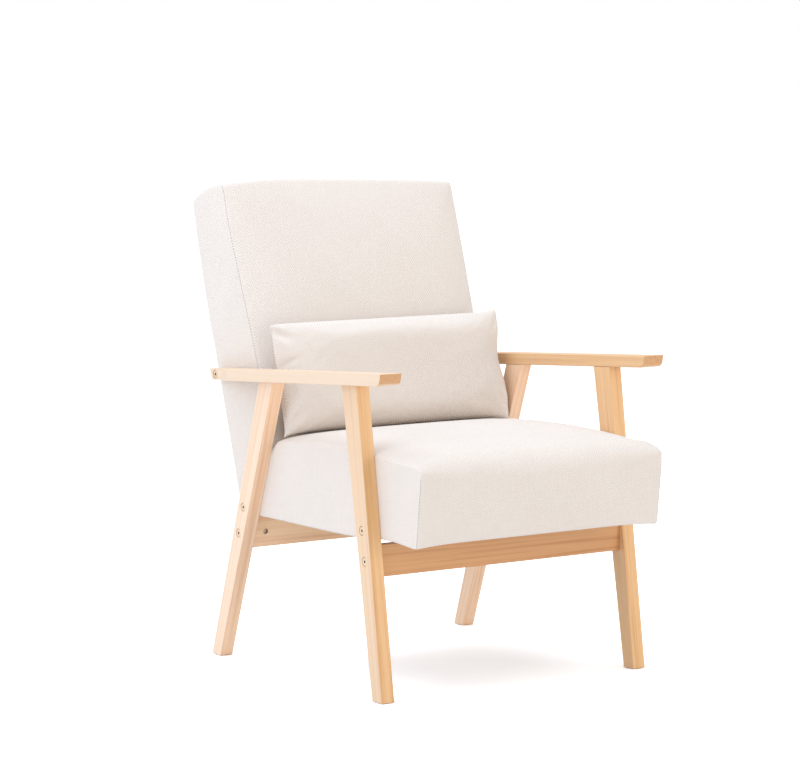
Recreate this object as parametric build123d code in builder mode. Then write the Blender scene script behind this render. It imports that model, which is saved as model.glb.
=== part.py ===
from build123d import *
from math import cos, radians, sin, sqrt, tan
import os

# Wooden armchair, in millimetres. The origin is on the floor under the middle of the chair,
# +Z is up and the sitter faces -Y. Distances named setback run rearwards from the seat's nose.

# Clearances
soft_gap = 0.3
bolt_gap = 0.3
thread_gap = 0.05
head_gap = 0.4

# Legs and rails
inner_width = 500.0
leg_thickness = 25.0
leg_foot_depth = 28.0
leg_head_depth = 44.0
front_foot_setback = 89.0
front_head_setback = 171.0
rear_foot_setback = 597.0
rear_head_setback = 428.0
rail_thickness = 18.0
rail_height = 53.5
front_rail_level = 229.8
rear_rail_level = 227.6
wood_round = 0.8

# Armrests
arm_slope = radians(3.8)
arm_level = 517.5
arm_width = 43.0
arm_neck_width = 25.0
arm_thickness = 20.0
arm_nose_length = 120.0
arm_flare_length = 47.0
arm_neck_length = 38.0
arm_undercut = 6.0
arm_nose_round = 12.0
arm_corner_round = 2.0

# Feet
glide_height = 1.2
glide_radius = 11.0
glide_pin_radius = 1.3
glide_pin_length = 14.0

# Bolts, nuts, inserts and dowels
bolt_radius = 3.0
bolt_head_radius = 7.5
bolt_head_height = 2.4
bolt_head_recess = 0.4
socket_size = 4.0
socket_depth = 1.6
bolt_run_out = 3.0
join_bolt_spacing = 260.0
join_bolt_rise = -16.0
front_bolt_level = 280.0
rear_bolt_level = 275.0
arm_bolt_inset = 18.0
arm_bolt_depth = 27.5
barrel_nut_radius = 5.0
barrel_nut_length = 11.0
barrel_nut_inset = 25.0
barrel_nut_recess = 4.0
insert_radius = 5.0
insert_length = 13.0
tee_nut_radius = 4.0
tee_nut_length = 10.0
tee_flange_radius = 9.0
tee_flange_height = 1.5
dowel_radius = 4.0
rail_dowel_offset = 15.0
rail_dowel_in_leg = 12.0
rail_dowel_in_rail = 18.0
arm_dowel_offset = 8.0
arm_dowel_in_arm = 12.0
arm_dowel_in_leg = 16.0
dowel_end_gap = 1.0

# Upholstery in general
cover_thickness = 2.0
upholstery_bottom = 259.0
board_thickness = 22.0

# Seat: the outline's heights, full in the middle and lower at the sides
seat_front_lean = 16.0
seat_nose_level = 372.0
seat_nose_round = 46.0
seat_rear_round = 25.0
seat_crown_setback = 225.0
seat_front_top = 411.0
seat_crown_top = 421.0
seat_rear_top = 410.0
seat_side_drop = 22.0
seat_side_softness = 3.0
seat_side_stations = (0.45, 0.75, 0.92, 1.0)
seat_board_height = 38.0
overhang_relief = 10.0
overhang_length = 130.0
seat_fold_under = 26.0
dust_cover_thickness = 1.0
dust_cover_inset = 12.0
corner_block_leg = 50.0
corner_block_height = 26.0

# Seat springs
spring_count = 5
spring_spacing = 80.0
spring_bends = 17
spring_bar = 24.0
spring_wire_radius = 1.8
clip_length = 20.0
clip_depth = 12.0
clip_floor = 1.2
clip_roof = 1.6
spring_pad_thickness = 2.0

# Back
recline = radians(16.3)
back_length = 562.0
back_foot_setback = 553.0
back_low_depth = 134.0
back_top_depth = 108.0
back_low_rise = 150.0
back_crown = 12.0
back_top_crown = 7.5
back_side_crown = 2.0
back_stations = (0.5, 1.0)
rear_panel_thickness = 1.5
rear_panel_inset = 6.0
back_fold_over = 30.0
stile_depth = 40.0
stile_foot_rise = 12.0
stile_gusset_rise = 95.0
back_board_height = 40.0
lumbar_rail_rise = 243.0
join_board_height = 38.0
join_board_drop = 29.0
strap_count = 4
strap_width = 50.0
strap_thickness = 1.5
strap_first_rise = 160.0
strap_top_gap = 66.0
strap_end_inset = 6.0
back_foam_rise = 100.0

# Lumbar pillow
pillow_width = 478.0
pillow_height = 190.0
pillow_lean = radians(12.4)
pillow_front_bulge = 50.0
pillow_rear_bulge = 27.0
pillow_end_bulge = 4.0
pillow_end_softness = 3.0
pillow_draw_in = 5.0
pillow_ear_sharpness = 6.0
pillow_stations = (0.35, 0.65, 0.85, 0.95, 1.0)
pillow_cover_thickness = 2.0

# Places worked out from the sizes above
half_inner = inner_width / 2
half_outer = half_inner + leg_thickness
overall_depth = back_foot_setback + back_length * sin(recline) - rear_panel_thickness * cos(recline)
nose_y = -overall_depth / 2
front_foot_y = nose_y + front_foot_setback
front_head_y = nose_y + front_head_setback
rear_foot_y = nose_y + rear_foot_setback
rear_head_y = nose_y + rear_head_setback
back_foot_y = nose_y + back_foot_setback
half_seat = half_inner - soft_gap
cover_skin = cover_thickness + soft_gap
half_frame = half_seat - cover_skin
half_between = half_frame - board_thickness
seat_board_bottom = upholstery_bottom + cover_skin
seat_board_top = seat_board_bottom + seat_board_height
front_board_bottom = seat_board_bottom + overhang_relief
overhang_rear = nose_y + overhang_length + overhang_relief
stile_rear = rear_panel_thickness + cover_skin
stile_front = stile_rear + stile_depth
back_frame_top = back_length - cover_skin
strap_pitch = (back_length - strap_top_gap - strap_first_rise) / (strap_count - 1)
join_board_front = back_low_depth - cover_skin
join_board_rear = join_board_front - board_thickness
seat_rear_depth = back_low_depth + soft_gap
rear_board_rear = seat_rear_depth + cover_skin
rear_board_front = rear_board_rear + board_thickness
front_board_front = nose_y + seat_front_lean + cover_skin
front_board_rear = front_board_front + board_thickness
counterbore_depth = bolt_head_height + bolt_head_recess
leg_head_seat = half_outer - counterbore_depth
arm_head_seat = half_inner + arm_neck_width - counterbore_depth
rail_bolt_end = half_inner - barrel_nut_inset - barrel_nut_radius - bolt_run_out
frame_bolt_end = half_frame - insert_length - bolt_run_out
join_bolt_length = rear_board_front - join_board_rear + tee_flange_height + bolt_run_out
bolt_hole_radius = bolt_radius + bolt_gap
thread_radius = bolt_radius + thread_gap
sides = ((-1, "left"), (1, "right"))

arm_plane = Plane(
    origin=(0, front_head_y, arm_level), x_dir=(1, 0, 0), z_dir=(0, sin(arm_slope), cos(arm_slope))
)
arm_side_plane = Plane(
    origin=(0, front_head_y, arm_level), x_dir=(0, cos(arm_slope), -sin(arm_slope)), z_dir=(1, 0, 0)
)
back_plane = Plane(
    origin=(0, back_foot_y, upholstery_bottom), x_dir=(1, 0, 0), z_dir=(0, -cos(recline), sin(recline))
)
rear_head_along_arm = (rear_head_y - front_head_y) / cos(arm_slope)

# The armrest's tail ends behind the bolt that meets the back's stile
arm_middle = arm_thickness / 2
stile_y_at_arm = (
    back_foot_y
    + (arm_level + arm_middle * cos(arm_slope) - upholstery_bottom) * tan(recline)
    - arm_bolt_depth / cos(recline)
)
arm_bolt_along = (stile_y_at_arm - front_head_y - arm_middle * sin(arm_slope)) / (
    cos(arm_slope) + sin(arm_slope) * tan(recline)
)
arm_tail_length = arm_bolt_along + arm_bolt_inset
arm_flare_end = arm_tail_length - arm_neck_length
arm_flare_start = arm_flare_end - arm_flare_length


def arm_underside(y):
    """Height of the armrest's underside above a place on the floor."""
    return arm_level - (y - front_head_y) * tan(arm_slope)


def back_y(height, depth):
    """Y of the line that lies a depth in front of the back's rear face, at a height."""
    return back_foot_y + (height - upholstery_bottom) * tan(recline) - depth / cos(recline)


def back_floor_rise(depth, inset):
    """Distance up the back, at a depth, of the level line that lies an inset above its bottom."""
    return inset / cos(recline) - depth * tan(recline)


def back_section_plane(x):
    """The plane of a side view of the back: first axis up the back, second axis towards the front."""
    return Plane(
        origin=(x, back_foot_y, upholstery_bottom), x_dir=(0, sin(recline), cos(recline)), z_dir=(1, 0, 0)
    )


def leg_line(foot_y, head_y, height):
    """Y of a leg's centre line at a height."""
    return foot_y + (head_y - foot_y) * height / arm_underside(head_y)


def both_ways(stations):
    """The stations of one half, mirrored about the middle."""
    return [-share for share in reversed(stations)] + [0.0] + list(stations)


def side_plane(side, x, y, z):
    """A plane that faces away from the chair's middle, at a point of one side."""
    return Plane(origin=(side * x, y, z), x_dir=(0, 1, 0), z_dir=(side, 0, 0))


def moved_plane(plane, x, y, z):
    """A plane shifted along its own axes."""
    return Plane(plane * Pos(x, y, z))


def save(piece, name):
    """Label a finished piece and write it to its own file."""
    piece.label = name
    export_step(piece, f"parts/{name}.step")


def round_section(planes, radius, length, mode=Mode.ADD):
    """A round bar or hole on each plane, along its normal when the length is positive."""
    with BuildSketch(*planes) as rounds:
        Circle(radius)
    extrude(rounds.sketch, amount=length, mode=mode)


def add_bolts(planes, length):
    """Flat-head socket bolts whose heads sit on the planes and whose shanks point inwards."""
    round_section(planes, bolt_head_radius, bolt_head_height)
    round_section(planes, bolt_radius, -length)
    with BuildSketch(*[plane.offset(bolt_head_height) for plane in planes]) as sockets:
        RegularPolygon(socket_size / sqrt(3), 6)
    extrude(sockets.sketch, amount=-socket_depth, mode=Mode.SUBTRACT)


def drill_frame_board(side, places):
    """Holes for the threaded inserts in a frame board's outer face, and for the bolts' ends beyond them."""
    for bolt_y, bolt_level in places:
        insert_plane = side_plane(side, half_frame, bolt_y, bolt_level)
        round_section([insert_plane], insert_radius + thread_gap, -insert_length, Mode.SUBTRACT)
        round_section([insert_plane], bolt_hole_radius, -board_thickness, Mode.SUBTRACT)


def drill_cover(places):
    """Holes for the bolts through both side walls of a cover."""
    with BuildSketch(Plane.YZ.offset(-half_outer)) as holes:
        with Locations(*places):
            Circle(bolt_hole_radius)
    extrude(holes.sketch, amount=2 * half_outer, mode=Mode.SUBTRACT)


def quarter_point(upright_end, level_end):
    """The middle of a rounded corner that is upright at one end and level at the other."""
    return (
        upright_end[0] + (level_end[0] - upright_end[0]) * (1 - sqrt(0.5)),
        upright_end[1] + (level_end[1] - upright_end[1]) * sqrt(0.5),
    )


def seat_sections(inset):
    """Side-view outlines of the seat at stations across it, drawn in by an inset all round."""
    outlines = []
    for share in both_ways(seat_side_stations):
        fullness = (1 - abs(share) ** seat_side_softness) ** (1 / seat_side_softness)
        drop = seat_side_drop * (1 - fullness) + inset
        rear_depth = seat_rear_depth + inset
        bottom = upholstery_bottom + inset
        rear_top = seat_rear_top - drop
        rear_turn_level = rear_top - seat_rear_round
        front_foot = (nose_y + seat_front_lean + inset, bottom)
        nose = (nose_y + inset, seat_nose_level)
        front_top = (nose_y + inset + seat_nose_round, seat_front_top - drop)
        crown = (nose_y + seat_crown_setback, seat_crown_top - drop)
        rear_edge = (back_y(rear_top, rear_depth) - seat_rear_round, rear_top)
        rear_turn = (back_y(rear_turn_level, rear_depth), rear_turn_level)
        with BuildSketch(Plane.YZ.offset(share * (half_seat - inset))) as outline:
            with BuildLine():
                Line(front_foot, nose)
                ThreePointArc(nose, quarter_point(nose, front_top), front_top)
                ThreePointArc(front_top, crown, rear_edge)
                ThreePointArc(rear_edge, quarter_point(rear_turn, rear_edge), rear_turn)
                Polyline(rear_turn, (back_y(bottom, rear_depth), bottom), front_foot)
            make_face()
        outlines.append(outline.sketch.face())
    return outlines


def back_sections(inset):
    """Side-view outlines of the back at stations across it, drawn in by an inset all round."""
    outlines = []
    for share in both_ways(back_stations):
        fullness = 1 - share**2
        rear = rear_panel_thickness + inset
        low_front = back_low_depth - inset
        top_front = back_top_depth - inset
        top = back_length - inset
        crest = top + back_top_crown * fullness
        bulge = back_side_crown + (back_crown - back_side_crown) * fullness
        front_middle = ((back_low_rise + crest) / 2, (low_front + top_front) / 2 + bulge)
        top_middle = ((top + crest) / 2 + back_side_crown, (rear + top_front) / 2)
        with BuildSketch(back_section_plane(share * (half_seat - inset))) as outline:
            with BuildLine():
                Polyline(
                    (top, rear),
                    (back_floor_rise(rear, inset), rear),
                    (back_floor_rise(low_front, inset), low_front),
                    (back_low_rise, low_front),
                )
                ThreePointArc((back_low_rise, low_front), front_middle, (crest, top_front))
                ThreePointArc((crest, top_front), top_middle, (top, rear))
            make_face()
        outlines.append(outline.sketch.face())
    return outlines


def pillow_sections(inset):
    """Lens-shaped cross sections of the pillow at stations across it, drawn in by an inset."""
    outlines = []
    for share in both_ways(pillow_stations):
        fullness = 1 - abs(share) ** pillow_end_softness
        draw_in = pillow_draw_in * (1 - abs(share) ** pillow_ear_sharpness)
        low = 2 * inset
        high = pillow_height - draw_in - 2 * inset
        front = pillow_end_bulge + (pillow_front_bulge - pillow_end_bulge) * fullness - inset
        rear = pillow_end_bulge + (pillow_rear_bulge - pillow_end_bulge) * fullness - inset
        section_plane = Plane(
            origin=(share * (pillow_width / 2 - inset), pillow_foot_y, pillow_foot_level),
            x_dir=(0, sin(pillow_lean), cos(pillow_lean)),
            z_dir=(1, 0, 0),
        )
        with BuildSketch(section_plane) as outline:
            with BuildLine():
                ThreePointArc((low, 0), ((low + high) / 2, front), (high, 0))
                ThreePointArc((high, 0), ((low + high) / 2, -rear), (low, 0))
            make_face()
        outlines.append(outline.sketch.face())
    return outlines


os.makedirs("parts", exist_ok=True)

# The pillow stands on the rear edge of the seat's top
pillow_foot_y = back_y(seat_rear_top, seat_rear_depth) - seat_rear_round
pillow_foot_level = seat_rear_top + soft_gap

# Bolt and dowel places
front_rail_y = leg_line(front_foot_y, front_head_y, front_rail_level)
rear_rail_y = leg_line(rear_foot_y, rear_head_y, rear_rail_level)
front_bolt_y = leg_line(front_foot_y, front_head_y, front_bolt_level)
rear_bolt_y = leg_line(rear_foot_y, rear_head_y, rear_bolt_level)
arm_bolt_place = arm_plane.from_local_coords((0, arm_bolt_along, arm_middle))
arm_bolt_y = arm_bolt_place.Y
arm_bolt_level = arm_bolt_place.Z
rail_places = ((front_rail_y, front_rail_level), (rear_rail_y, rear_rail_level))
frame_bolt_places = (
    (front_bolt_y, front_bolt_level),
    (rear_bolt_y, rear_bolt_level),
    (arm_bolt_y, arm_bolt_level),
)
leg_rows = (
    ("front", front_foot_y, front_head_y, 0.0, (front_bolt_y, front_bolt_level), rail_places[0]),
    ("rear", rear_foot_y, rear_head_y, rear_head_along_arm, (rear_bolt_y, rear_bolt_level), rail_places[1]),
)

# Legs: leaning boards that taper to the foot, bored for two bolts, a rail dowel, arm dowels and a glide
for side, side_name in sides:
    for row_name, foot_y, head_y, head_along_arm, upper_bolt, rail_place in leg_rows:
        with BuildPart() as leg:
            head_front = head_y - leg_head_depth / 2
            head_rear = head_y + leg_head_depth / 2
            with BuildSketch(Plane.YZ.offset(side * (half_inner + leg_thickness / 2))):
                with BuildLine():
                    Polyline(
                        (foot_y - leg_foot_depth / 2, glide_height),
                        (foot_y + leg_foot_depth / 2, glide_height),
                        (head_rear, arm_underside(head_rear)),
                        (head_front, arm_underside(head_front)),
                        close=True,
                    )
                make_face()
            extrude(amount=leg_thickness / 2, both=True)
            fillet(leg.edges().sort_by(SortBy.LENGTH)[-4:], wood_round)
            for bolt_y, bolt_level in (upper_bolt, rail_place):
                with Locations(side_plane(side, half_outer, bolt_y, bolt_level)):
                    CounterBoreHole(bolt_hole_radius, bolt_head_radius + head_gap, counterbore_depth)
            dowel_plane = side_plane(-side, -half_inner, rail_place[0], rail_place[1] + rail_dowel_offset)
            round_section([dowel_plane], dowel_radius, -rail_dowel_in_leg - dowel_end_gap, Mode.SUBTRACT)
            dowel_tops = [
                moved_plane(arm_plane, side * (half_inner + leg_thickness / 2), head_along_arm + step, 0)
                for step in (-arm_dowel_offset, arm_dowel_offset)
            ]
            round_section(dowel_tops, dowel_radius, -arm_dowel_in_leg - dowel_end_gap, Mode.SUBTRACT)
            foot_plane = Plane(origin=(side * (half_inner + leg_thickness / 2), foot_y, glide_height))
            round_section([foot_plane], glide_pin_radius, glide_pin_length + dowel_end_gap, Mode.SUBTRACT)
        save(leg.part, f"leg_{row_name}_{side_name}")

        with BuildPart() as glide:
            round_section([foot_plane], glide_radius, -glide_height)
            fillet(glide.faces().sort_by(Axis.Z)[0].edges(), glide_height / 4)
            round_section([foot_plane], glide_pin_radius, glide_pin_length)
        save(glide.part, f"foot_glide_{row_name}_{side_name}")

# Armrests: sloping boards with an undercut nose and a narrow tail beside the back
arm_ends = ((-arm_nose_length, arm_undercut), (arm_tail_length, -arm_thickness * tan(recline)))
for side, side_name in sides:
    with BuildPart() as armrest:
        with BuildSketch(arm_plane):
            with BuildLine():
                Polyline(
                    (side * half_inner, -arm_nose_length),
                    (side * (half_inner + arm_width), -arm_nose_length),
                    (side * (half_inner + arm_width), arm_flare_start),
                    (side * (half_inner + arm_neck_width), arm_flare_end),
                    (side * (half_inner + arm_neck_width), arm_tail_length),
                    (side * half_inner, arm_tail_length),
                    close=True,
                )
            make_face()
        extrude(amount=arm_thickness)
        for end, undercut in arm_ends:
            with BuildSketch(arm_side_plane):
                with BuildLine():
                    Polyline((end, arm_thickness), (end + undercut, 0), (end, 0), close=True)
                make_face()
            extrude(amount=half_inner + arm_width, both=True, mode=Mode.SUBTRACT)
        nose_face = armrest.faces().sort_by(Axis(arm_plane.origin, arm_side_plane.x_dir))[0]
        fillet(nose_face.edges().filter_by(Axis.X).sort_by(Axis.Z)[0], arm_nose_round)
        nose_face = armrest.faces().sort_by(Axis(arm_plane.origin, arm_side_plane.x_dir))[0]
        nose_corners = nose_face.edges().filter_by(Axis.X, reverse=True)
        fillet(nose_corners, arm_corner_round)
        fillet(armrest.edges().sort_by(SortBy.LENGTH)[-4:], wood_round)
        for head_along_arm in (0.0, rear_head_along_arm):
            dowel_feet = [
                moved_plane(arm_plane, side * (half_inner + leg_thickness / 2), head_along_arm + step, 0)
                for step in (-arm_dowel_offset, arm_dowel_offset)
            ]
            round_section(dowel_feet, dowel_radius, arm_dowel_in_arm + dowel_end_gap, Mode.SUBTRACT)
        with Locations(side_plane(side, half_inner + arm_neck_width, arm_bolt_y, arm_bolt_level)):
            CounterBoreHole(bolt_hole_radius, bolt_head_radius + head_gap, counterbore_depth)
    save(armrest.part, f"armrest_{side_name}")

# Cross rails: the barrel nut's hole is on the side that faces the middle of the chair
for (rail_y, rail_level), rail_name, facing in zip(rail_places, ("front_rail", "rear_rail"), (1, -1)):
    with BuildPart() as rail:
        with BuildSketch(Plane.YZ):
            with Locations((rail_y, rail_level)):
                Rectangle(rail_thickness, rail_height)
        extrude(amount=half_inner, both=True)
        fillet(rail.edges().filter_by(Axis.X), wood_round)
        for side, _ in sides:
            end_plane = side_plane(side, half_inner, rail_y, rail_level)
            end_hole = half_inner - rail_bolt_end + dowel_end_gap
            round_section([end_plane], bolt_hole_radius, -end_hole, Mode.SUBTRACT)
            dowel_plane = side_plane(side, half_inner, rail_y, rail_level + rail_dowel_offset)
            round_section([dowel_plane], dowel_radius, -rail_dowel_in_rail - dowel_end_gap, Mode.SUBTRACT)
            nut_plane = Plane(
                origin=(
                    side * (half_inner - barrel_nut_inset),
                    rail_y + facing * rail_thickness / 2,
                    rail_level,
                ),
                z_dir=(0, facing, 0),
            )
            nut_hole = barrel_nut_recess + barrel_nut_length + soft_gap
            round_section([nut_plane], barrel_nut_radius + thread_gap, -nut_hole, Mode.SUBTRACT)
    save(rail.part, rail_name)

# Barrel nuts, with their threaded cross holes
with BuildPart() as barrel_nuts:
    for (rail_y, rail_level), facing in zip(rail_places, (1, -1)):
        for side, _ in sides:
            nut_plane = Plane(
                origin=(
                    side * (half_inner - barrel_nut_inset),
                    rail_y + facing * (rail_thickness / 2 - barrel_nut_recess),
                    rail_level,
                ),
                z_dir=(0, facing, 0),
            )
            round_section([nut_plane], barrel_nut_radius, -barrel_nut_length)
    for rail_y, rail_level in rail_places:
        cross_plane = side_plane(-1, half_inner, rail_y, rail_level)
        round_section([cross_plane], thread_radius, -inner_width, Mode.SUBTRACT)
save(barrel_nuts.part, "rail_barrel_nuts")

# Bolts through the legs into the rails
with BuildPart() as rail_bolts:
    rail_bolt_planes = [
        side_plane(side, leg_head_seat, rail_y, rail_level)
        for side, _ in sides
        for rail_y, rail_level in rail_places
    ]
    add_bolts(rail_bolt_planes, leg_head_seat - rail_bolt_end)
save(rail_bolts.part, "rail_bolts")

# Bolts through the legs and armrests into the seat and back frames, and the inserts that take them
frame_bolt_rows = zip(
    frame_bolt_places, (leg_head_seat, leg_head_seat, arm_head_seat), ("seat_frame", "back_foot", "armrest")
)
for (bolt_y, bolt_level), head_seat, place_name in frame_bolt_rows:
    with BuildPart() as frame_bolts:
        bolt_planes = [side_plane(side, head_seat, bolt_y, bolt_level) for side, _ in sides]
        add_bolts(bolt_planes, head_seat - frame_bolt_end)
    save(frame_bolts.part, f"{place_name}_bolts")

    with BuildPart() as inserts:
        insert_planes = [side_plane(side, half_frame, bolt_y, bolt_level) for side, _ in sides]
        round_section(insert_planes, insert_radius, -insert_length)
        round_section(insert_planes, thread_radius, -insert_length, Mode.SUBTRACT)
    save(inserts.part, f"{place_name}_inserts")

# Dowels of the rails and of the armrests
with BuildPart() as rail_dowels:
    rail_dowel_planes = [
        side_plane(side, half_inner, rail_y, rail_level + rail_dowel_offset)
        for side, _ in sides
        for rail_y, rail_level in rail_places
    ]
    round_section(rail_dowel_planes, dowel_radius - thread_gap, rail_dowel_in_leg)
    round_section(rail_dowel_planes, dowel_radius - thread_gap, -rail_dowel_in_rail)
save(rail_dowels.part, "rail_dowels")

with BuildPart() as arm_dowels:
    arm_dowel_planes = [
        moved_plane(arm_plane, side * (half_inner + leg_thickness / 2), head_along_arm + step, 0)
        for side, _ in sides
        for head_along_arm in (0.0, rear_head_along_arm)
        for step in (-arm_dowel_offset, arm_dowel_offset)
    ]
    round_section(arm_dowel_planes, dowel_radius - thread_gap, arm_dowel_in_arm)
    round_section(arm_dowel_planes, dowel_radius - thread_gap, -arm_dowel_in_leg)
save(arm_dowels.part, "arm_dowels")

# Seat frame boards, cut higher over the front legs and ahead of them
rear_board_foot = back_y(seat_board_bottom, rear_board_rear)
rear_board_head = back_y(seat_board_top, rear_board_rear)
for side, side_name in sides:
    with BuildPart() as seat_side:
        with BuildSketch(Plane.YZ.offset(side * (half_frame - board_thickness / 2))):
            with BuildLine():
                Polyline(
                    (front_board_front, front_board_bottom),
                    (nose_y + overhang_length, front_board_bottom),
                    (overhang_rear, seat_board_bottom),
                    (rear_board_foot, seat_board_bottom),
                    (rear_board_head, seat_board_top),
                    (front_board_front, seat_board_top),
                    close=True,
                )
            make_face()
        extrude(amount=board_thickness / 2, both=True)
        drill_frame_board(side, frame_bolt_places[:1])
    save(seat_side.part, f"seat_side_board_{side_name}")

with BuildPart() as seat_front:
    with BuildSketch(Plane.YZ):
        with Locations((front_board_front, front_board_bottom)):
            Rectangle(board_thickness, seat_board_height - overhang_relief, align=(Align.MIN, Align.MIN))
    extrude(amount=half_between, both=True)
save(seat_front.part, "seat_front_board")

join_planes = [
    moved_plane(back_plane, side * join_bolt_spacing / 2, join_bolt_rise, rear_board_front)
    for side, _ in sides
]
with BuildPart() as seat_rear:
    with BuildSketch(Plane.YZ):
        with BuildLine():
            Polyline(
                (back_y(seat_board_bottom, rear_board_front), seat_board_bottom),
                (rear_board_foot, seat_board_bottom),
                (rear_board_head, seat_board_top),
                (back_y(seat_board_top, rear_board_front), seat_board_top),
                close=True,
            )
        make_face()
    extrude(amount=half_between, both=True)
    round_section(join_planes, bolt_hole_radius, -2 * board_thickness, Mode.SUBTRACT)
save(seat_rear.part, "seat_rear_board")

# Glue blocks in the frame's corners, those at the rear leaning with the rear board
with BuildPart() as corner_blocks:
    block_bottom = seat_board_top - corner_block_height
    block_rows = (
        (front_board_rear, 1, (0, 0, 1)),
        (back_y(block_bottom, rear_board_front), -1, (0, sin(recline), cos(recline))),
    )
    for side, _ in sides:
        for corner_y, inward, upright in block_rows:
            with BuildSketch(Plane.XY.offset(block_bottom)):
                with BuildLine():
                    Polyline(
                        (side * half_between, corner_y),
                        (side * (half_between - corner_block_leg), corner_y),
                        (side * half_between, corner_y + inward * corner_block_leg),
                        close=True,
                    )
                make_face()
            extrude(amount=corner_block_height / upright[2], dir=upright)
save(corner_blocks.part, "seat_corner_blocks")

# Zigzag springs from the front board to the rear board, with a clip at each end
clip_height = clip_floor + 2 * (spring_wire_radius + soft_gap) + clip_roof
wire_level = seat_board_top + clip_floor + spring_wire_radius + soft_gap
spring_front_y = (front_board_front + front_board_rear) / 2
spring_rear_y = (rear_board_head + back_y(seat_board_top, rear_board_front)) / 2
spring_pitch = (spring_rear_y - spring_front_y) / spring_bends
spring_places = [(index - (spring_count - 1) / 2) * spring_spacing for index in range(spring_count)]
for index, spring_x in enumerate(spring_places):
    with BuildPart() as spring:
        with BuildLine(Plane.XY.offset(wire_level)) as wire:
            for bend in range(spring_bends + 1):
                way = 1 if bend % 2 == 0 else -1
                bar_y = spring_front_y + bend * spring_pitch
                bar_start = (spring_x - way * spring_bar / 2, bar_y)
                bar_end = (spring_x + way * spring_bar / 2, bar_y)
                Line(bar_start, bar_end)
                if bend < spring_bends:
                    bend_middle = (bar_end[0] + way * spring_pitch / 2, bar_y + spring_pitch / 2)
                    ThreePointArc(bar_end, bend_middle, (bar_end[0], bar_y + spring_pitch))
        with BuildSketch(Plane(origin=wire.line @ 0, z_dir=wire.line % 0)):
            Circle(spring_wire_radius)
        sweep()
    save(spring.part, f"seat_spring_{index + 1}")

with BuildPart() as clips:
    for spring_x in spring_places:
        for clip_y in (spring_front_y, spring_rear_y):
            with BuildSketch(Plane.YZ.offset(spring_x)):
                with Locations((clip_y, seat_board_top)):
                    Rectangle(clip_depth, clip_height, align=(Align.CENTER, Align.MIN))
                with Locations((clip_y, wire_level)):
                    Circle(spring_wire_radius + soft_gap, mode=Mode.SUBTRACT)
            extrude(amount=clip_length / 2, both=True)
save(clips.part, "seat_spring_clips")

# Felt pad that lies on the clips and springs
pad_bottom = seat_board_top + clip_height
pad_rear_y = back_y(pad_bottom, rear_board_rear)
with BuildPart() as spring_pad:
    with BuildSketch(Plane.XY.offset(pad_bottom)):
        with BuildLine():
            Polyline(
                (-half_between, front_board_front),
                (half_between, front_board_front),
                (half_between, pad_rear_y),
                (-half_between, pad_rear_y),
                close=True,
            )
        make_face()
    extrude(amount=spring_pad_thickness)
save(spring_pad.part, "seat_spring_pad")

# Seat cover: a sewn skin, folded under the overhang and the frame, and open below
with BuildPart() as seat_cover:
    loft(seat_sections(0.0))
    loft(seat_sections(cover_thickness), mode=Mode.SUBTRACT)
    opening_front = overhang_rear + seat_fold_under
    opening_rear = back_y(upholstery_bottom, seat_rear_depth) - seat_fold_under
    with BuildSketch():
        with Locations((0, (opening_front + opening_rear) / 2)):
            Rectangle(2 * (half_seat - seat_fold_under), opening_rear - opening_front)
    extrude(amount=seat_board_top, mode=Mode.SUBTRACT)
    drill_cover(frame_bolt_places[:1])
    round_section(join_planes, bolt_hole_radius, -2 * board_thickness, Mode.SUBTRACT)
save(seat_cover.part, "seat_cover")

# Seat foam: sits on the side boards and bridges the springs
with BuildPart() as seat_foam:
    loft(seat_sections(cover_skin))
    with BuildSketch(Plane.XY.offset(seat_board_top + soft_gap)):
        Rectangle(2 * inner_width, 2 * overall_depth)
    extrude(amount=-2 * seat_board_height, mode=Mode.SUBTRACT)
    with BuildSketch(Plane.XY.offset(seat_board_top)):
        Rectangle(2 * (half_between + soft_gap), 2 * overall_depth)
    extrude(amount=clip_height + spring_pad_thickness + soft_gap, mode=Mode.SUBTRACT)
save(seat_foam.part, "seat_foam")

# Dust cover under the seat
with BuildPart() as dust_cover:
    dust_front = overhang_rear + dust_cover_inset
    dust_rear = back_y(upholstery_bottom, seat_rear_depth) - dust_cover_inset
    with BuildSketch(Plane.XY.offset(upholstery_bottom)):
        with Locations((0, (dust_front + dust_rear) / 2)):
            Rectangle(2 * (half_seat - dust_cover_inset), dust_rear - dust_front)
    extrude(amount=-dust_cover_thickness)
save(dust_cover.part, "seat_dust_cover")

# Back frame: stiles with a deep foot, and the rails between them
for side, side_name in sides:
    with BuildPart() as stile:
        with BuildSketch(back_section_plane(side * (half_frame - board_thickness / 2))):
            with BuildLine():
                Polyline(
                    (back_floor_rise(stile_rear, cover_skin), stile_rear),
                    (back_floor_rise(join_board_front, cover_skin), join_board_front),
                    (stile_foot_rise, join_board_front),
                    (stile_gusset_rise, stile_front),
                    (back_frame_top, stile_front),
                    (back_frame_top, stile_rear),
                    close=True,
                )
            make_face()
        extrude(amount=board_thickness / 2, both=True)
        drill_frame_board(side, frame_bolt_places[1:])
    save(stile.part, f"back_stile_{side_name}")

top_rail_rise = back_frame_top - back_board_height / 2
for rail_rise, rail_name in ((top_rail_rise, "back_top_rail"), (lumbar_rail_rise, "back_lumbar_rail")):
    with BuildPart() as back_rail:
        with BuildSketch(back_plane.offset(stile_rear)):
            with Locations((0, rail_rise)):
                Rectangle(2 * half_between, back_board_height)
        extrude(amount=board_thickness)
    save(back_rail.part, rail_name)

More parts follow.
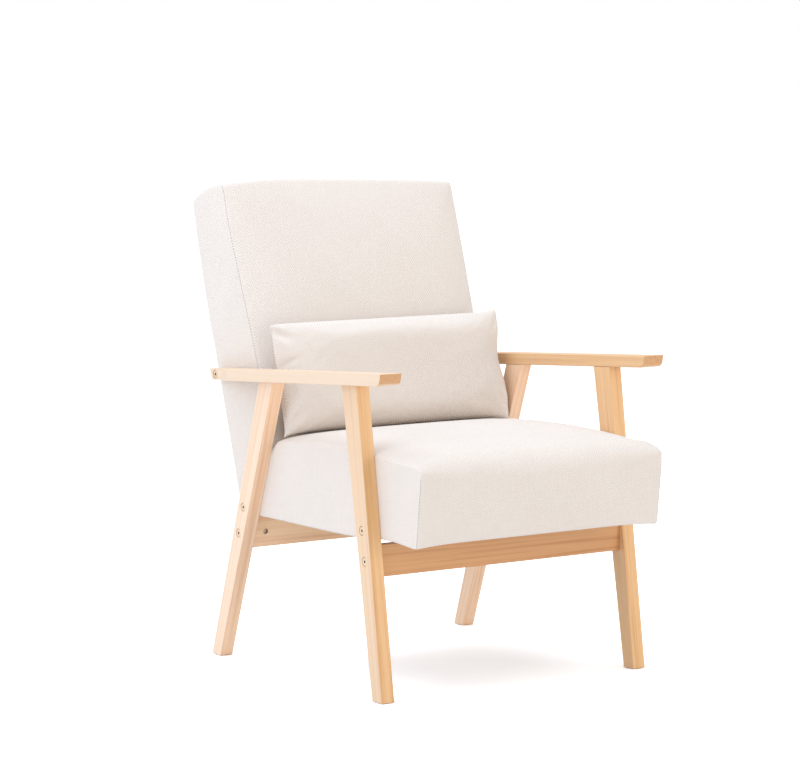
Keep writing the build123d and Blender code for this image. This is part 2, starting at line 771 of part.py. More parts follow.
tee_planes = [
    moved_plane(back_plane, side * join_bolt_spacing / 2, join_bolt_rise, join_board_rear)
    for side, _ in sides
]
with BuildPart() as bottom_rail:
    with BuildSketch(back_plane.offset(join_board_rear)):
        with Locations((0, join_board_height / 2 - join_board_drop)):
            Rectangle(2 * half_between, join_board_height)
    extrude(amount=board_thickness)
    round_section(tee_planes, bolt_hole_radius, board_thickness, Mode.SUBTRACT)
    round_section(tee_planes, tee_nut_radius + thread_gap, tee_nut_length, Mode.SUBTRACT)
save(bottom_rail.part, "back_bottom_rail")

# Bolts and tee nuts that hold the back to the seat's rear board
with BuildPart() as join_bolts:
    add_bolts(join_planes, join_bolt_length)
save(join_bolts.part, "seat_to_back_bolts")

with BuildPart() as tee_nuts:
    round_section(tee_planes, tee_flange_radius, -tee_flange_height)
    round_section(tee_planes, tee_nut_radius, tee_nut_length)
    bore_planes = [plane.offset(-tee_flange_height) for plane in tee_planes]
    round_section(bore_planes, thread_radius, tee_flange_height + tee_nut_length, Mode.SUBTRACT)
save(tee_nuts.part, "seat_to_back_tee_nuts")

# Elastic straps across the stiles
for index in range(strap_count):
    with BuildPart() as strap:
        with BuildSketch(back_plane.offset(stile_front)):
            with Locations((0, strap_first_rise + index * strap_pitch)):
                Rectangle(2 * (half_frame - strap_end_inset), strap_width)
        extrude(amount=strap_thickness)
    save(strap.part, f"back_strap_{index + 1}")

# Back cover: a sewn skin, open at the rear under the panel
with BuildPart() as back_cover:
    loft(back_sections(0.0))
    loft(back_sections(cover_thickness), mode=Mode.SUBTRACT)
    with BuildSketch(back_plane):
        with Locations((0, back_length / 2)):
            Rectangle(2 * (half_seat - back_fold_over), back_length - 2 * back_fold_over)
    extrude(amount=stile_front, mode=Mode.SUBTRACT)
    drill_cover(frame_bolt_places[1:])
    round_section(join_planes, bolt_hole_radius, -2 * board_thickness, Mode.SUBTRACT)
save(back_cover.part, "back_cover")

# Back foam: in front of the straps, down to the stiles' feet
with BuildPart() as back_foam:
    loft(back_sections(cover_skin))
    with BuildSketch(back_plane):
        Rectangle(2 * inner_width, 4 * back_length)
    extrude(amount=stile_front + strap_thickness + soft_gap, mode=Mode.SUBTRACT)
    with BuildSketch(back_plane):
        with Locations((0, back_foam_rise)):
            Rectangle(2 * inner_width, back_length, align=(Align.CENTER, Align.MAX))
    extrude(amount=2 * back_low_depth, mode=Mode.SUBTRACT)
save(back_foam.part, "back_foam")

# Rear fabric panel
with BuildPart() as rear_panel:
    with BuildSketch(back_plane):
        with Locations((0, back_length / 2)):
            Rectangle(2 * (half_seat - rear_panel_inset), back_length - 2 * rear_panel_inset)
    extrude(amount=rear_panel_thickness)
save(rear_panel.part, "back_rear_panel")

# Lumbar pillow, loose on the seat
with BuildPart() as pillow_cover:
    loft(pillow_sections(0.0))
    loft(pillow_sections(pillow_cover_thickness), mode=Mode.SUBTRACT)
save(pillow_cover.part, "pillow_cover")

with BuildPart() as pillow_filling:
    loft(pillow_sections(pillow_cover_thickness + soft_gap))
save(pillow_filling.part, "pillow_filling")
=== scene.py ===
"""Looks of a wooden armchair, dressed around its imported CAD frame. Metres; the sitter faces -Y."""

import logging
import math
from abc import ABC, abstractmethod
from collections.abc import Callable, Iterable
from dataclasses import dataclass, field
from enum import Enum

import bmesh
import bpy
import numpy as np
from mathutils import Euler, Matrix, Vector
from mathutils.bvhtree import BVHTree


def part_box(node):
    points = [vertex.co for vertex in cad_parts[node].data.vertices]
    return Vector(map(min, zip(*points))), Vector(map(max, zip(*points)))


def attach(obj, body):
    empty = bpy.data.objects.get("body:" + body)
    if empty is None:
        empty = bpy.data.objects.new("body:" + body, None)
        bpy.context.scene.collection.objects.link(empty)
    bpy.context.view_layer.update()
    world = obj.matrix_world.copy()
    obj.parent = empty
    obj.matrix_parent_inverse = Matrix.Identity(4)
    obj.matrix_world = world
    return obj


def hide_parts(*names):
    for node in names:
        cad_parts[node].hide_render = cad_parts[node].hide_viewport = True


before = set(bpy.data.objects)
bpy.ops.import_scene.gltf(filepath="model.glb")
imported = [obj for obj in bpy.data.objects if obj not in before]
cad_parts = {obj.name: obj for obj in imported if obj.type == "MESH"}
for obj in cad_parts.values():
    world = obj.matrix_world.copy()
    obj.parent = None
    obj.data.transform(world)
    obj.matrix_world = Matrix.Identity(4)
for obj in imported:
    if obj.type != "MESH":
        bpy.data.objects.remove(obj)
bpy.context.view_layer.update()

LOG = logging.getLogger("armchair")
MM = 0.001
CHAIR = "chair"
PILLOW = "pillow"
BACK_FOOT_SETBACK = 553.0 * MM
ARC_POINTS = 25
BEAD_SEGMENTS, BEAD_RINGS = 6, 5
SHANK_SIDES = 24

Tree = bpy.types.NodeTree
Mesh = bpy.types.Mesh
Piece = bpy.types.Object
Chain = np.ndarray
Values = np.ndarray | float
Pair = tuple[float, float]
Triple = tuple[float, float, float]
Step = tuple[int, int, int]
NodeInputs = dict[str | int, object]


class Grain(Enum):
    """Way that the wood's grain runs on a piece, as the turn that brings it upright."""

    FRONT_LEG = (9.05, 0.0, 0.0)
    REAR_LEG = (-18.74, 0.0, 0.0)
    ARM = (93.8, 0.0, 0.0)
    RAIL = (0.0, -90.0, 0.0)


class Panel(Enum):
    """The six sewn panels of a boxed cushion."""

    FRONT = "front"
    TOP = "top"
    REAR = "rear"
    BOTTOM = "bottom"
    LEFT = "left"
    RIGHT = "right"


def linear(hex_colour: str) -> tuple[float, float, float, float]:
    """Turn an sRGB hex colour into linear RGBA.

    Args:
        hex_colour: Colour such as "#E6DDD4".

    Returns:
        Red, green, blue and an alpha of 1, linear.
    """
    values = [int(hex_colour[start:start + 2], 16) / 255 for start in (1, 3, 5)]
    red, green, blue = (v / 12.92 if v <= 0.04045 else ((v + 0.055) / 1.055) ** 2.4 for v in values)
    return red, green, blue, 1.0


def add_node(tree: Tree, kind: str, inputs: NodeInputs | None = None, **settings: object) -> bpy.types.Node:
    """Add a node with its settings, input values and links.

    Args:
        tree: Tree that takes the node.
        kind: Blender's name of the node type.
        inputs: Values or output sockets by input name or index.
        **settings: Attributes of the node.

    Returns:
        The new node.
    """
    node = tree.nodes.new(kind)
    for name, value in settings.items():
        setattr(node, name, value)
    for key, value in (inputs or {}).items():
        if isinstance(value, bpy.types.NodeSocket):
            tree.links.new(value, node.inputs[key])
        else:
            node.inputs[key].default_value = value
    return node


def cleared_tree(owner: bpy.types.Material | bpy.types.World) -> Tree:
    """Switch a material or a world to nodes and empty its tree.

    Args:
        owner: The material or world.

    Returns:
        The empty tree.
    """
    owner.use_nodes = True
    owner.node_tree.nodes.clear()
    return owner.node_tree


@dataclass(frozen=True)
class Finish(ABC):
    """A surface finish that builds one material."""

    name: str

    @abstractmethod
    def shade(self, tree: Tree) -> NodeInputs:
        """Lay out the finish's pattern.

        Args:
            tree: The material's node tree.

        Returns:
            Inputs of the Principled BSDF.
        """

    def build(self) -> bpy.types.Material:
        """Build the material once and give the same one afterwards.

        Returns:
            The finished material.
        """
        made = bpy.data.materials.get(self.name)
        if made is not None:
            return made
        material = bpy.data.materials.new(self.name)
        tree = cleared_tree(material)
        shader = add_node(tree, "ShaderNodeBsdfPrincipled", self.shade(tree))
        add_node(tree, "ShaderNodeOutputMaterial", {"Surface": shader.outputs["BSDF"]})
        return material


@dataclass(frozen=True)
class LacqueredBeech(Finish):
    """Planed beech under clear satin lacquer: pale honey, long soft streaks and short darker ray flecks.

    Each size is a width and a length along the grain. Each span is the part of a layer's range over which it
    comes in, up to its share.
    """

    grain: Grain
    light: str
    honey: str
    streak: str
    # Painted light: a paler tone on the long faces, set by which way they are turned, stands for the light
    # falling on them
    painted_light_tone: str = "#E6D3BE"
    painted_light_side_share: float = 0.15
    painted_light_face_share: float = 0.0
    end_grain: str = "#C68E62"
    end_share: float = 0.6
    facing_span: Pair = (0.55, 0.85)
    streak_size: Pair = (7.0 * MM, 420.0 * MM)
    streak_stops: Triple = (0.28, 0.52, 0.78)
    line_size: Pair = (1.6 * MM, 260.0 * MM)
    line_span: Pair = (0.35, 0.75)
    line_share: float = 0.35
    fleck_size: Pair = (0.9 * MM, 5.0 * MM)
    fleck_span: Pair = (0.62, 0.8)
    fleck_share: float = 0.22
    noise_detail: float = 2.0
    noise_roughness: float = 0.55
    roughness: Pair = (0.36, 0.5)
    pore_strength: float = 0.05
    pore_depth: float = 0.3 * MM
    coat_weight: float = 0.12
    coat_roughness: float = 0.3

    def shade(self, tree: Tree) -> NodeInputs:
        """Lay streaks, fine lines and flecks along the grain, with painted light that makes the long faces
        paler, and darker ends.

        Args:
            tree: The material's node tree.

        Returns:
            Inputs of the Principled BSDF.
        """
        place = add_node(tree, "ShaderNodeTexCoord").outputs["Object"]
        turn = Euler([math.radians(angle) for angle in self.grain.value])
        along = add_node(tree, "ShaderNodeMapping", {"Vector": place, "Rotation": turn})
        layers = []
        for width, length in (self.streak_size, self.line_size, self.fleck_size):
            stretch = add_node(tree, "ShaderNodeMapping", {
                "Vector": along.outputs[0], "Scale": (1 / width, 1 / width, 1 / length),
            })
            layers.append(add_node(tree, "ShaderNodeTexNoise", {
                "Vector": stretch.outputs[0], "Scale": 1.0,
                "Detail": self.noise_detail, "Roughness": self.noise_roughness,
            }).outputs["Fac"])
        streaks, lines, flecks = layers
        tones_along = add_node(tree, "ShaderNodeValToRGB", {"Fac": streaks})
        stops = tones_along.color_ramp.elements
        stops.new(0.5)
        for stop, spot, tone in zip(stops, self.streak_stops, (self.light, self.honey, self.streak)):
            stop.position = spot
            stop.color = linear(tone)
        normal = add_node(tree, "ShaderNodeNewGeometry").outputs["Normal"]
        facing = add_node(
            tree, "ShaderNodeMapping", {"Vector": normal, "Rotation": turn}, vector_type="VECTOR"
        )
        ways = add_node(tree, "ShaderNodeSeparateXYZ", {"Vector": facing.outputs[0]})
        side, face, end = (
            add_node(tree, "ShaderNodeMath", {0: way}, operation="ABSOLUTE").outputs[0]
            for way in ways.outputs
        )
        colour = tones_along.outputs[0]
        # The side and face layers are painted light; the end layer darkens the end faces.
        for value, span, most, tone in (
            (lines, self.line_span, self.line_share, self.streak),
            (flecks, self.fleck_span, self.fleck_share, self.streak),
            (side, self.facing_span, self.painted_light_side_share, self.painted_light_tone),
            (face, self.facing_span, self.painted_light_face_share, self.painted_light_tone),
            (end, self.facing_span, self.end_share, self.end_grain),
        ):
            share = add_node(tree, "ShaderNodeMapRange", {
                "Value": value, "From Min": span[0], "From Max": span[1], "To Max": most,
            })
            colour = add_node(
                tree, "ShaderNodeMix", {0: share.outputs[0], 6: colour, 7: linear(tone)}, data_type="RGBA"
            ).outputs[2]
        satin = add_node(tree, "ShaderNodeMapRange", {
            "Value": lines, "To Min": self.roughness[0], "To Max": self.roughness[1],
        })
        pores = add_node(tree, "ShaderNodeBump", {
            "Strength": self.pore_strength, "Distance": self.pore_depth, "Height": lines,
        })
        return {
            "Base Color": colour, "Roughness": satin.outputs[0], "Normal": pores.outputs[0],
            "Coat Weight": self.coat_weight, "Coat Roughness": self.coat_roughness,
        }


@dataclass(frozen=True)
class LinenWeave(Finish):
    """Basket-woven linen-look yarn: matt cream cloth with rows of tiny dots and uneven slubs."""

    light: str = "#EBE2D9"
    shadow: str = "#D3C7BC"
    # Real threads are about 1 mm apart; the dots are drawn at 2.6 mm so that they show in the picture.
    dot_spacing: float = 2.6 * MM
    slub_length: float = 38.0 * MM
    slub_width: float = 2.2 * MM
    cloud_size: float = 120.0 * MM
    unevenness: float = 0.55
    tone_span: Pair = (-0.3, 2.0)
    thread_strength: float = 0.35
    thread_depth: float = 0.5 * MM
    roughness: float = 0.92
    specular: float = 0.25
    sheen_weight: float = 0.12
    sheen_roughness: float = 0.5

    def shade(self, tree: Tree) -> NodeInputs:
        """Weave dots, slubs and soft clouds on the piece's own UV map, which is in metres.

        Args:
            tree: The material's node tree.

        Returns:
            Inputs of the Principled BSDF.
        """
        chart = add_node(tree, "ShaderNodeTexCoord").outputs["UV"]
        turns = math.pi / self.dot_spacing
        phase = add_node(tree, "ShaderNodeMapping", {"Vector": chart, "Scale": (turns, turns, turns)})
        axes = add_node(tree, "ShaderNodeSeparateXYZ", {"Vector": phase.outputs[0]})
        waves = [
            add_node(tree, "ShaderNodeMath", {0: axes.outputs[axis]}, operation="SINE").outputs[0]
            for axis in ("X", "Y")
        ]
        dots = add_node(tree, "ShaderNodeMath", {0: waves[0], 1: waves[1]}, operation="MULTIPLY")
        long, fine, broad = 1 / self.slub_length, 1 / self.slub_width, 1 / self.cloud_size
        layers = []
        for scale, detail in (
            ((long, fine, 1.0), 1.0), ((fine, long, 1.0), 1.0), ((broad, broad, broad), 2.0),
        ):
            stretch = add_node(tree, "ShaderNodeMapping", {"Vector": chart, "Scale": scale})
            layers.append(add_node(tree, "ShaderNodeTexNoise", {
                "Vector": stretch.outputs[0], "Scale": 1.0, "Detail": detail,
            }).outputs["Fac"])
        uneven = layers[0]
        for layer in layers[1:]:
            uneven = add_node(tree, "ShaderNodeMath", {0: uneven, 1: layer}, operation="ADD").outputs[0]
        height = add_node(
            tree, "ShaderNodeMath", {0: uneven, 1: self.unevenness, 2: dots.outputs[0]},
            operation="MULTIPLY_ADD",
        ).outputs[0]
        tone = add_node(tree, "ShaderNodeMapRange", {
            "Value": height, "From Min": self.tone_span[0], "From Max": self.tone_span[1],
        })
        colour = add_node(
            tree, "ShaderNodeMix", {0: tone.outputs[0], 6: linear(self.shadow), 7: linear(self.light)},
            data_type="RGBA",
        )
        threads = add_node(tree, "ShaderNodeBump", {
            "Strength": self.thread_strength, "Distance": self.thread_depth, "Height": height,
        })
        return {
            "Base Color": colour.outputs[2], "Normal": threads.outputs[0], "Roughness": self.roughness,
            "Specular IOR Level": self.specular,
            "Sheen Weight": self.sheen_weight, "Sheen Roughness": self.sheen_roughness,
        }


@dataclass(frozen=True)
class SpeckledStuff(Finish):
    """A plain stuff whose only pattern is the unevenness of how it was made, such as felt, nylon or steel."""

    base: str
    fleck: str
    grit: float
    stretch: Triple = (1.0, 1.0, 1.0)
    roughness: Pair = (0.5, 0.65)
    metallic: float = 0.0
    bump: float = 0.1
    bump_depth: float = 0.3 * MM
    detail: float = 3.0

    def shade(self, tree: Tree) -> NodeInputs:
        """Mottle colour, roughness and bump with one noise.

        Args:
            tree: The material's node tree.

        Returns:
            Inputs of the Principled BSDF.
        """
        place = add_node(tree, "ShaderNodeTexCoord").outputs["Object"]
        stretch = add_node(tree, "ShaderNodeMapping", {"Vector": place, "Scale": self.stretch})
        grit = add_node(tree, "ShaderNodeTexNoise", {
            "Vector": stretch.outputs[0], "Scale": 1 / self.grit, "Detail": self.detail,
        }).outputs["Fac"]
        colour = add_node(
            tree, "ShaderNodeMix", {0: grit, 6: linear(self.base), 7: linear(self.fleck)}, data_type="RGBA"
        )
        rough = add_node(tree, "ShaderNodeMapRange", {
            "Value": grit, "To Min": self.roughness[0], "To Max": self.roughness[1],
        })
        bump = add_node(tree, "ShaderNodeBump", {
            "Strength": self.bump, "Distance": self.bump_depth, "Height": grit,
        })
        return {
            "Base Color": colour.outputs[2], "Roughness": rough.outputs[0], "Normal": bump.outputs[0],
            "Metallic": self.metallic,
        }


# Yellow-passivated zinc on cold-headed steel: pale straw and satin, close to the wood's own tone
BOLT_STEEL = SpeckledStuff(
    "steel_zinc_plated_cold_headed", "#EBD2B4", "#DEC3A2", 0.8 * MM,
    roughness=(0.34, 0.48), metallic=0.6, bump=0.05,
)
# Painted shade: the hexagon socket is coloured near-black to stand for the shade inside it
SOCKET_PAINTED_SHADE = SpeckledStuff(
    "steel_broached_oiled", "#2B2420", "#1C1815", 0.5 * MM, metallic=0.3, bump=0.05
)
# Drawn carbon-steel wire: dark grey with lengthwise die marks
SPRING_STEEL = SpeckledStuff(
    "carbon_steel_drawn_wire", "#5E5F61", "#47484A", 1.2 * MM, (1.0, 0.2, 1.0),
    roughness=(0.35, 0.5), metallic=1.0, bump=0.08,
)
# Injection-moulded nylon: near-black with a fine satin texture
GLIDE_NYLON = SpeckledStuff("nylon_moulded", "#2E2A27", "#221F1D", 0.7 * MM, roughness=(0.5, 0.62))
# Sawn pine, unfinished: yellowish with broad fuzzy streaks
SAWN_PINE = SpeckledStuff(
    "pine_sawn", "#DDBE8C", "#C49E68", 6.0 * MM, (0.08, 1.0, 1.0), roughness=(0.7, 0.85), bump=0.35
)
# Beech dowel rod, fluted and unfinished
DOWEL_BEECH = SpeckledStuff(
    "beech_turned", "#DDB98C", "#C79E6E", 2.0 * MM, (1.0, 1.0, 0.1), roughness=(0.6, 0.75), bump=0.2
)
# Needle-punched felt of mixed waste fibre: grey and hairy
NEEDLED_FELT = SpeckledStuff("waste_fibre_felt_needled", "#8E8982", "#6C6761", 1.5 * MM, bump=0.6)
# Woven elastic webbing: dark with cross ribs
ELASTIC_WEBBING = SpeckledStuff(
    "elastic_webbing_woven", "#3A3734", "#57534F", 2.0 * MM, (0.1, 1.0, 1.0), bump=0.5
)
# Spun-bonded polypropylene: matt black cloth with a fine pressed grain
DUST_CLOTH = SpeckledStuff(
    "polypropylene_spun_bonded", "#1D1C1C", "#2C2A2A", 1.4 * MM, roughness=(0.75, 0.9), bump=0.35
)
# Twisted polyester sewing thread, a shade darker than the cloth
SEAM_THREAD = SpeckledStuff("polyester_thread_twisted", "#B5ADA9", "#A49C98", 0.6 * MM, roughness=(0.6, 0.75))
# Galvanised staple wire: bright grey
STAPLE_WIRE = SpeckledStuff(
    "galvanised_steel_staple_wire", "#B9BBBD", "#9DA0A3", 1.0 * MM,
    roughness=(0.3, 0.45), metallic=1.0, bump=0.05,
)
# Basket-woven polyester: matt cream cloth that looks like linen
LINEN = LinenWeave("linen_look_polyester_basket_weave")


def dress_nodes(nodes: Iterable[str], finish: Finish) -> None:
    """Give CAD nodes a finish.

    Args:
        nodes: Names of the nodes.
        finish: The finish that they take.
    """
    for name in nodes:
        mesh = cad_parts[name].data
        mesh.materials.clear()
        mesh.materials.append(finish.build())


def ramp(values: Values, start: float, span: float) -> Values:
    """Share of the way from a start over a span, from 0 to 1."""
    return np.clip((values - start) / span, 0, 1)


def bell(values: Values, middle: float, spread: float) -> Values:
    """A smooth hump, 1 in its middle."""
    return np.exp(-(((values - middle) / spread) ** 2))


def arc_through(start: Pair, middle: Pair, end: Pair) -> Chain:
    """Points along the circle arc through three points.

    Args:
        start: First end.
        middle: A point on the arc.
        end: Other end.

    Returns:
        Points from start to end, an array of pairs.
    """
    a, b, c = (np.array(point, float) for point in (start, middle, end))
    sides = np.array([b - a, c - a])
    centre = a + np.linalg.solve(2 * sides, (sides**2).sum(1))
    radius = np.linalg.norm(a - centre)
    angles = [math.atan2(*(point - centre)[::-1]) for point in (a, b, c)]
    turn = (angles[2] - angles[0]) % math.tau
    if (angles[1] - angles[0]) % math.tau > turn:
        turn -= math.tau
    sweep = angles[0] + np.linspace(0, turn, ARC_POINTS)
    return centre + radius * np.stack([np.cos(sweep), np.sin(sweep)], 1)


def rounded_middle(upright_end: Pair, level_end: Pair) -> Pair:
    """Middle of a rounded corner that is upright at one end and level at the other.

    Args:
        upright_end: End where the curve is upright.
        level_end: End where it is level.

    Returns:
        Y and z of the middle.
    """
    return (
        upright_end[0] + (level_end[0] - upright_end[0]) * (1 - math.sqrt(0.5)),
        upright_end[1] + (level_end[1] - upright_end[1]) * math.sqrt(0.5),
    )


def spaced(points: Chain, count: int) -> Chain:
    """Points spread evenly along a line of points.

    Args:
        points: The line, an array of pairs.
        count: Number of steps.

    Returns:
        Array of count + 1 pairs.
    """
    lengths = np.concatenate([[0.0], np.cumsum(np.linalg.norm(np.diff(points, axis=0), axis=1))])
    wanted = np.linspace(0, lengths[-1], count + 1)
    return np.stack([np.interp(wanted, lengths, points[:, axis]) for axis in (0, 1)], 1)


def roll_over(share: float, sharpness: float) -> float:
    """How far a rounded edge has turned at a station.

    Args:
        share: Station across, from -1 at the left to 1 at the right.
        sharpness: Higher values keep the turn closer to the edge.

    Returns:
        0 in the middle, 1 at either side.
    """
    return 1 - math.sqrt(max(0.0, 1 - abs(share) ** sharpness))


def run_length(points: Chain) -> float:
    """Length of a line of points."""
    return float(np.linalg.norm(np.diff(points, axis=0), axis=1).sum())


def mesh_piece(name: str, mesh: Mesh, finish: Finish) -> Piece:
    """Link a new object with a finish to the scene.

    Args:
        name: Name of the piece.
        mesh: Its mesh, in place.
        finish: Its finish.

    Returns:
        The linked object.
    """
    mesh.materials.clear()
    mesh.materials.append(finish.build())
    piece = bpy.data.objects.new(name, mesh)
    bpy.context.scene.collection.objects.link(piece)
    return piece


def coordinates(mesh: Mesh) -> np.ndarray:
    """Places of a mesh's vertices.

    Args:
        mesh: The mesh.

    Returns:
        Array of triples.
    """
    places = np.empty(len(mesh.vertices) * 3, np.float32)
    mesh.vertices.foreach_get("co", places)
    return places.reshape(-1, 3).astype(float)


def set_coordinates(mesh: Mesh, places: np.ndarray) -> None:
    """Move the mesh's vertices to new places.

    Args:
        mesh: The mesh.
        places: Array of triples.
    """
    mesh.vertices.foreach_set("co", places.astype(np.float32).ravel())
    mesh.update()


def apply_modifiers(piece: Piece) -> None:
    """Turn a piece's evaluated form into its plain mesh and drop the modifiers.

    Args:
        piece: The piece.
    """
    graph = bpy.context.evaluated_depsgraph_get()
    mesh = bpy.data.meshes.new_from_object(
        piece.evaluated_get(graph), preserve_all_data_layers=True, depsgraph=graph
    )
    piece.modifiers.clear()
    piece.data = mesh


def face_outward(mesh: Mesh) -> None:
    """Turn a mesh's faces outwards.

    Args:
        mesh: The mesh.
    """
    work = bmesh.new()
    work.from_mesh(mesh)
    bmesh.ops.recalc_face_normals(work, faces=work.faces)
    work.to_mesh(mesh)
    work.free()


def finish_weave(mesh: Mesh, charts: list[Pair]) -> None:
    """Give a sewn mesh its cloth map, smooth shading and outward faces.

    Args:
        mesh: The mesh.
        charts: Place on the flat cloth of each face corner, in metres.
    """
    layer = mesh.uv_layers.new(name="weave")
    layer.data.foreach_set("uv", np.array(charts, np.float32).ravel())
    mesh.polygons.foreach_set("use_smooth", [True] * len(mesh.polygons))
    face_outward(mesh)


def crease_edges(mesh: Mesh, rule: Callable[[set[int]], float]) -> None:
    """Keep chosen edges crisp when the mesh is smoothed.

    Args:
        mesh: The mesh.
        rule: Gives an edge's crease from its pair of vertices.
    """
    values = [rule(set(edge.vertices)) for edge in mesh.edges]
    sharp = [value > 0 for value in values]
    mesh.attributes.new("crease_edge", "FLOAT", "EDGE").data.foreach_set("value", values)
    mesh.attributes.new("sharp_edge", "BOOLEAN", "EDGE").data.foreach_set("value", sharp)


def subdivide(piece: Piece) -> None:
    """Subdivide a piece once into a smooth plain mesh.

    Args:
        piece: The piece.
    """
    smoother = piece.modifiers.new("smooth", "SUBSURF")
    smoother.levels = smoother.render_levels = 1
    apply_modifiers(piece)


@dataclass(frozen=True)
class Inflation:
    """How a sewn cover is blown up into its filled shape."""

    pressure: float
    most: float
    frames: int = 20
    tension: float = 25.0
    bending: float = 2.0
    ease: float = 0.0
    shear_ratio: float = 3.0
    quality: int = 6
    mass: float = 0.25
    damping: float = 4.0
    usual_share: float = 0.98

    def run(self, piece: Piece, pins: dict[int, float]) -> None:
        """Simulate the cover as cloth under pressure, and keep the shape within the allowed swell.

        Args:
            piece: The piece, whose mesh is the sewn cover.
            pins: Weight of each held vertex by its index.
        """
        start = coordinates(piece.data)
        group = piece.vertex_groups.new(name="held")
        for index, weight in pins.items():
            group.add([index], weight, "REPLACE")
        cloth = piece.modifiers.new("cover", "CLOTH")
        settings = cloth.settings
        settings.quality = self.quality
        settings.mass = self.mass
        settings.tension_stiffness = settings.compression_stiffness = self.tension
        settings.shear_stiffness = self.tension / self.shear_ratio
        settings.bending_stiffness = self.bending
        settings.air_damping = self.damping
        settings.use_pressure = True
        settings.uniform_pressure_force = self.pressure
        settings.shrink_min = -self.ease
        settings.vertex_group_mass = group.name
        settings.effector_weights.gravity = 0.0
        cloth.collision_settings.use_collision = False
        cloth.point_cache.frame_start = 1
        cloth.point_cache.frame_end = self.frames + 1
        for step in range(1, self.frames + 1):
            bpy.context.scene.frame_set(step)
        evaluated = piece.evaluated_get(bpy.context.evaluated_depsgraph_get())
        swell = coordinates(evaluated.data) - start
        piece.modifiers.clear()
        piece.vertex_groups.clear()
        bpy.context.scene.frame_set(1)
        size = np.linalg.norm(swell, axis=1)
        LOG.info("%s swells by up to %.1f mm, kept to %.1f mm", piece.name, size.max() / MM, self.most / MM)
        usual = max(float(np.quantile(size, self.usual_share)), 1e-9)
        kept = swell * min(1.0, self.most / usual)
        over = np.maximum(np.linalg.norm(kept, axis=1) / self.most, 1.0)
        set_coordinates(piece.data, start + kept / over[:, None])


@dataclass(frozen=True)
class Section:
    """One side-view outline of a boxed cushion, as four chains of (y, z) points."""

    front: Chain
    top: Chain
    rear: Chain
    bottom: Chain

    def cap(self) -> np.ndarray:
        """Fill the outline with a smooth grid of points.

        Returns:
            Array of (y, z) by step along the bottom and step up the front.
        """
        along = np.linspace(0, 1, len(self.bottom))[:, None, None]
        up = np.linspace(0, 1, len(self.front))[None, :, None]
        level = (1 - up) * self.bottom[:, None] + up * self.top[:, None]
        upright = (1 - along) * self.front[None] + along * self.rear[None]
        corners = (
            (1 - along) * (1 - up) * self.bottom[0] + along * (1 - up) * self.bottom[-1]
            + (1 - along) * up * self.top[0] + along * up * self.top[-1]
        )
        return level + upright - corners


@dataclass
class ReclinedFrame:
    """The slanted frame of the back: rise runs up the back, depth runs forward from its rear face."""

    foot_y: float
    floor: float
    recline: float = math.radians(16.3)
    length: float = 559.5 * MM
    rear_bow: float = 4.5 * MM
    bow_skew: float = 1.5

    def place(self, rise: float, depth: float) -> Pair:
        """The (y, z) of a point of the back.

        Args:
            rise: Distance up the back.
            depth: Distance in front of its rear face.

        Returns:
            Y and z.
        """
        lean, upright = math.sin(self.recline), math.cos(self.recline)
        return self.foot_y + rise * lean - depth * upright, self.floor + rise * upright + depth * lean

    def rise_and_depth(self, y: np.ndarray, z: np.ndarray) -> tuple[np.ndarray, np.ndarray]:
        """The rise and depth of points, the inverse of place.

        Args:
            y: Y of each point.
            z: Height of each point.

        Returns:
            Rises and depths.
        """
        lean, upright = math.sin(self.recline), math.cos(self.recline)
        back, up = y - self.foot_y, z - self.floor
        return back * lean + up * upright, up * lean - back * upright

    def y_at(self, height: float, depth: float) -> float:
        """Y of the line that lies a depth in front of the rear face, at a height."""
        return self.foot_y + (height - self.floor) * math.tan(self.recline) - depth / math.cos(self.recline)

    def floor_rise(self, depth: float) -> float:
        """Rise of the back's level bottom at a depth."""
        return -depth * math.tan(self.recline)

    def bow(self, rise: float) -> float:
        """How far the padding bows the rear face out at a rise."""
        return self.rear_bow * math.sin(math.pi * min(max(rise / self.length, 0), 1) ** self.bow_skew)


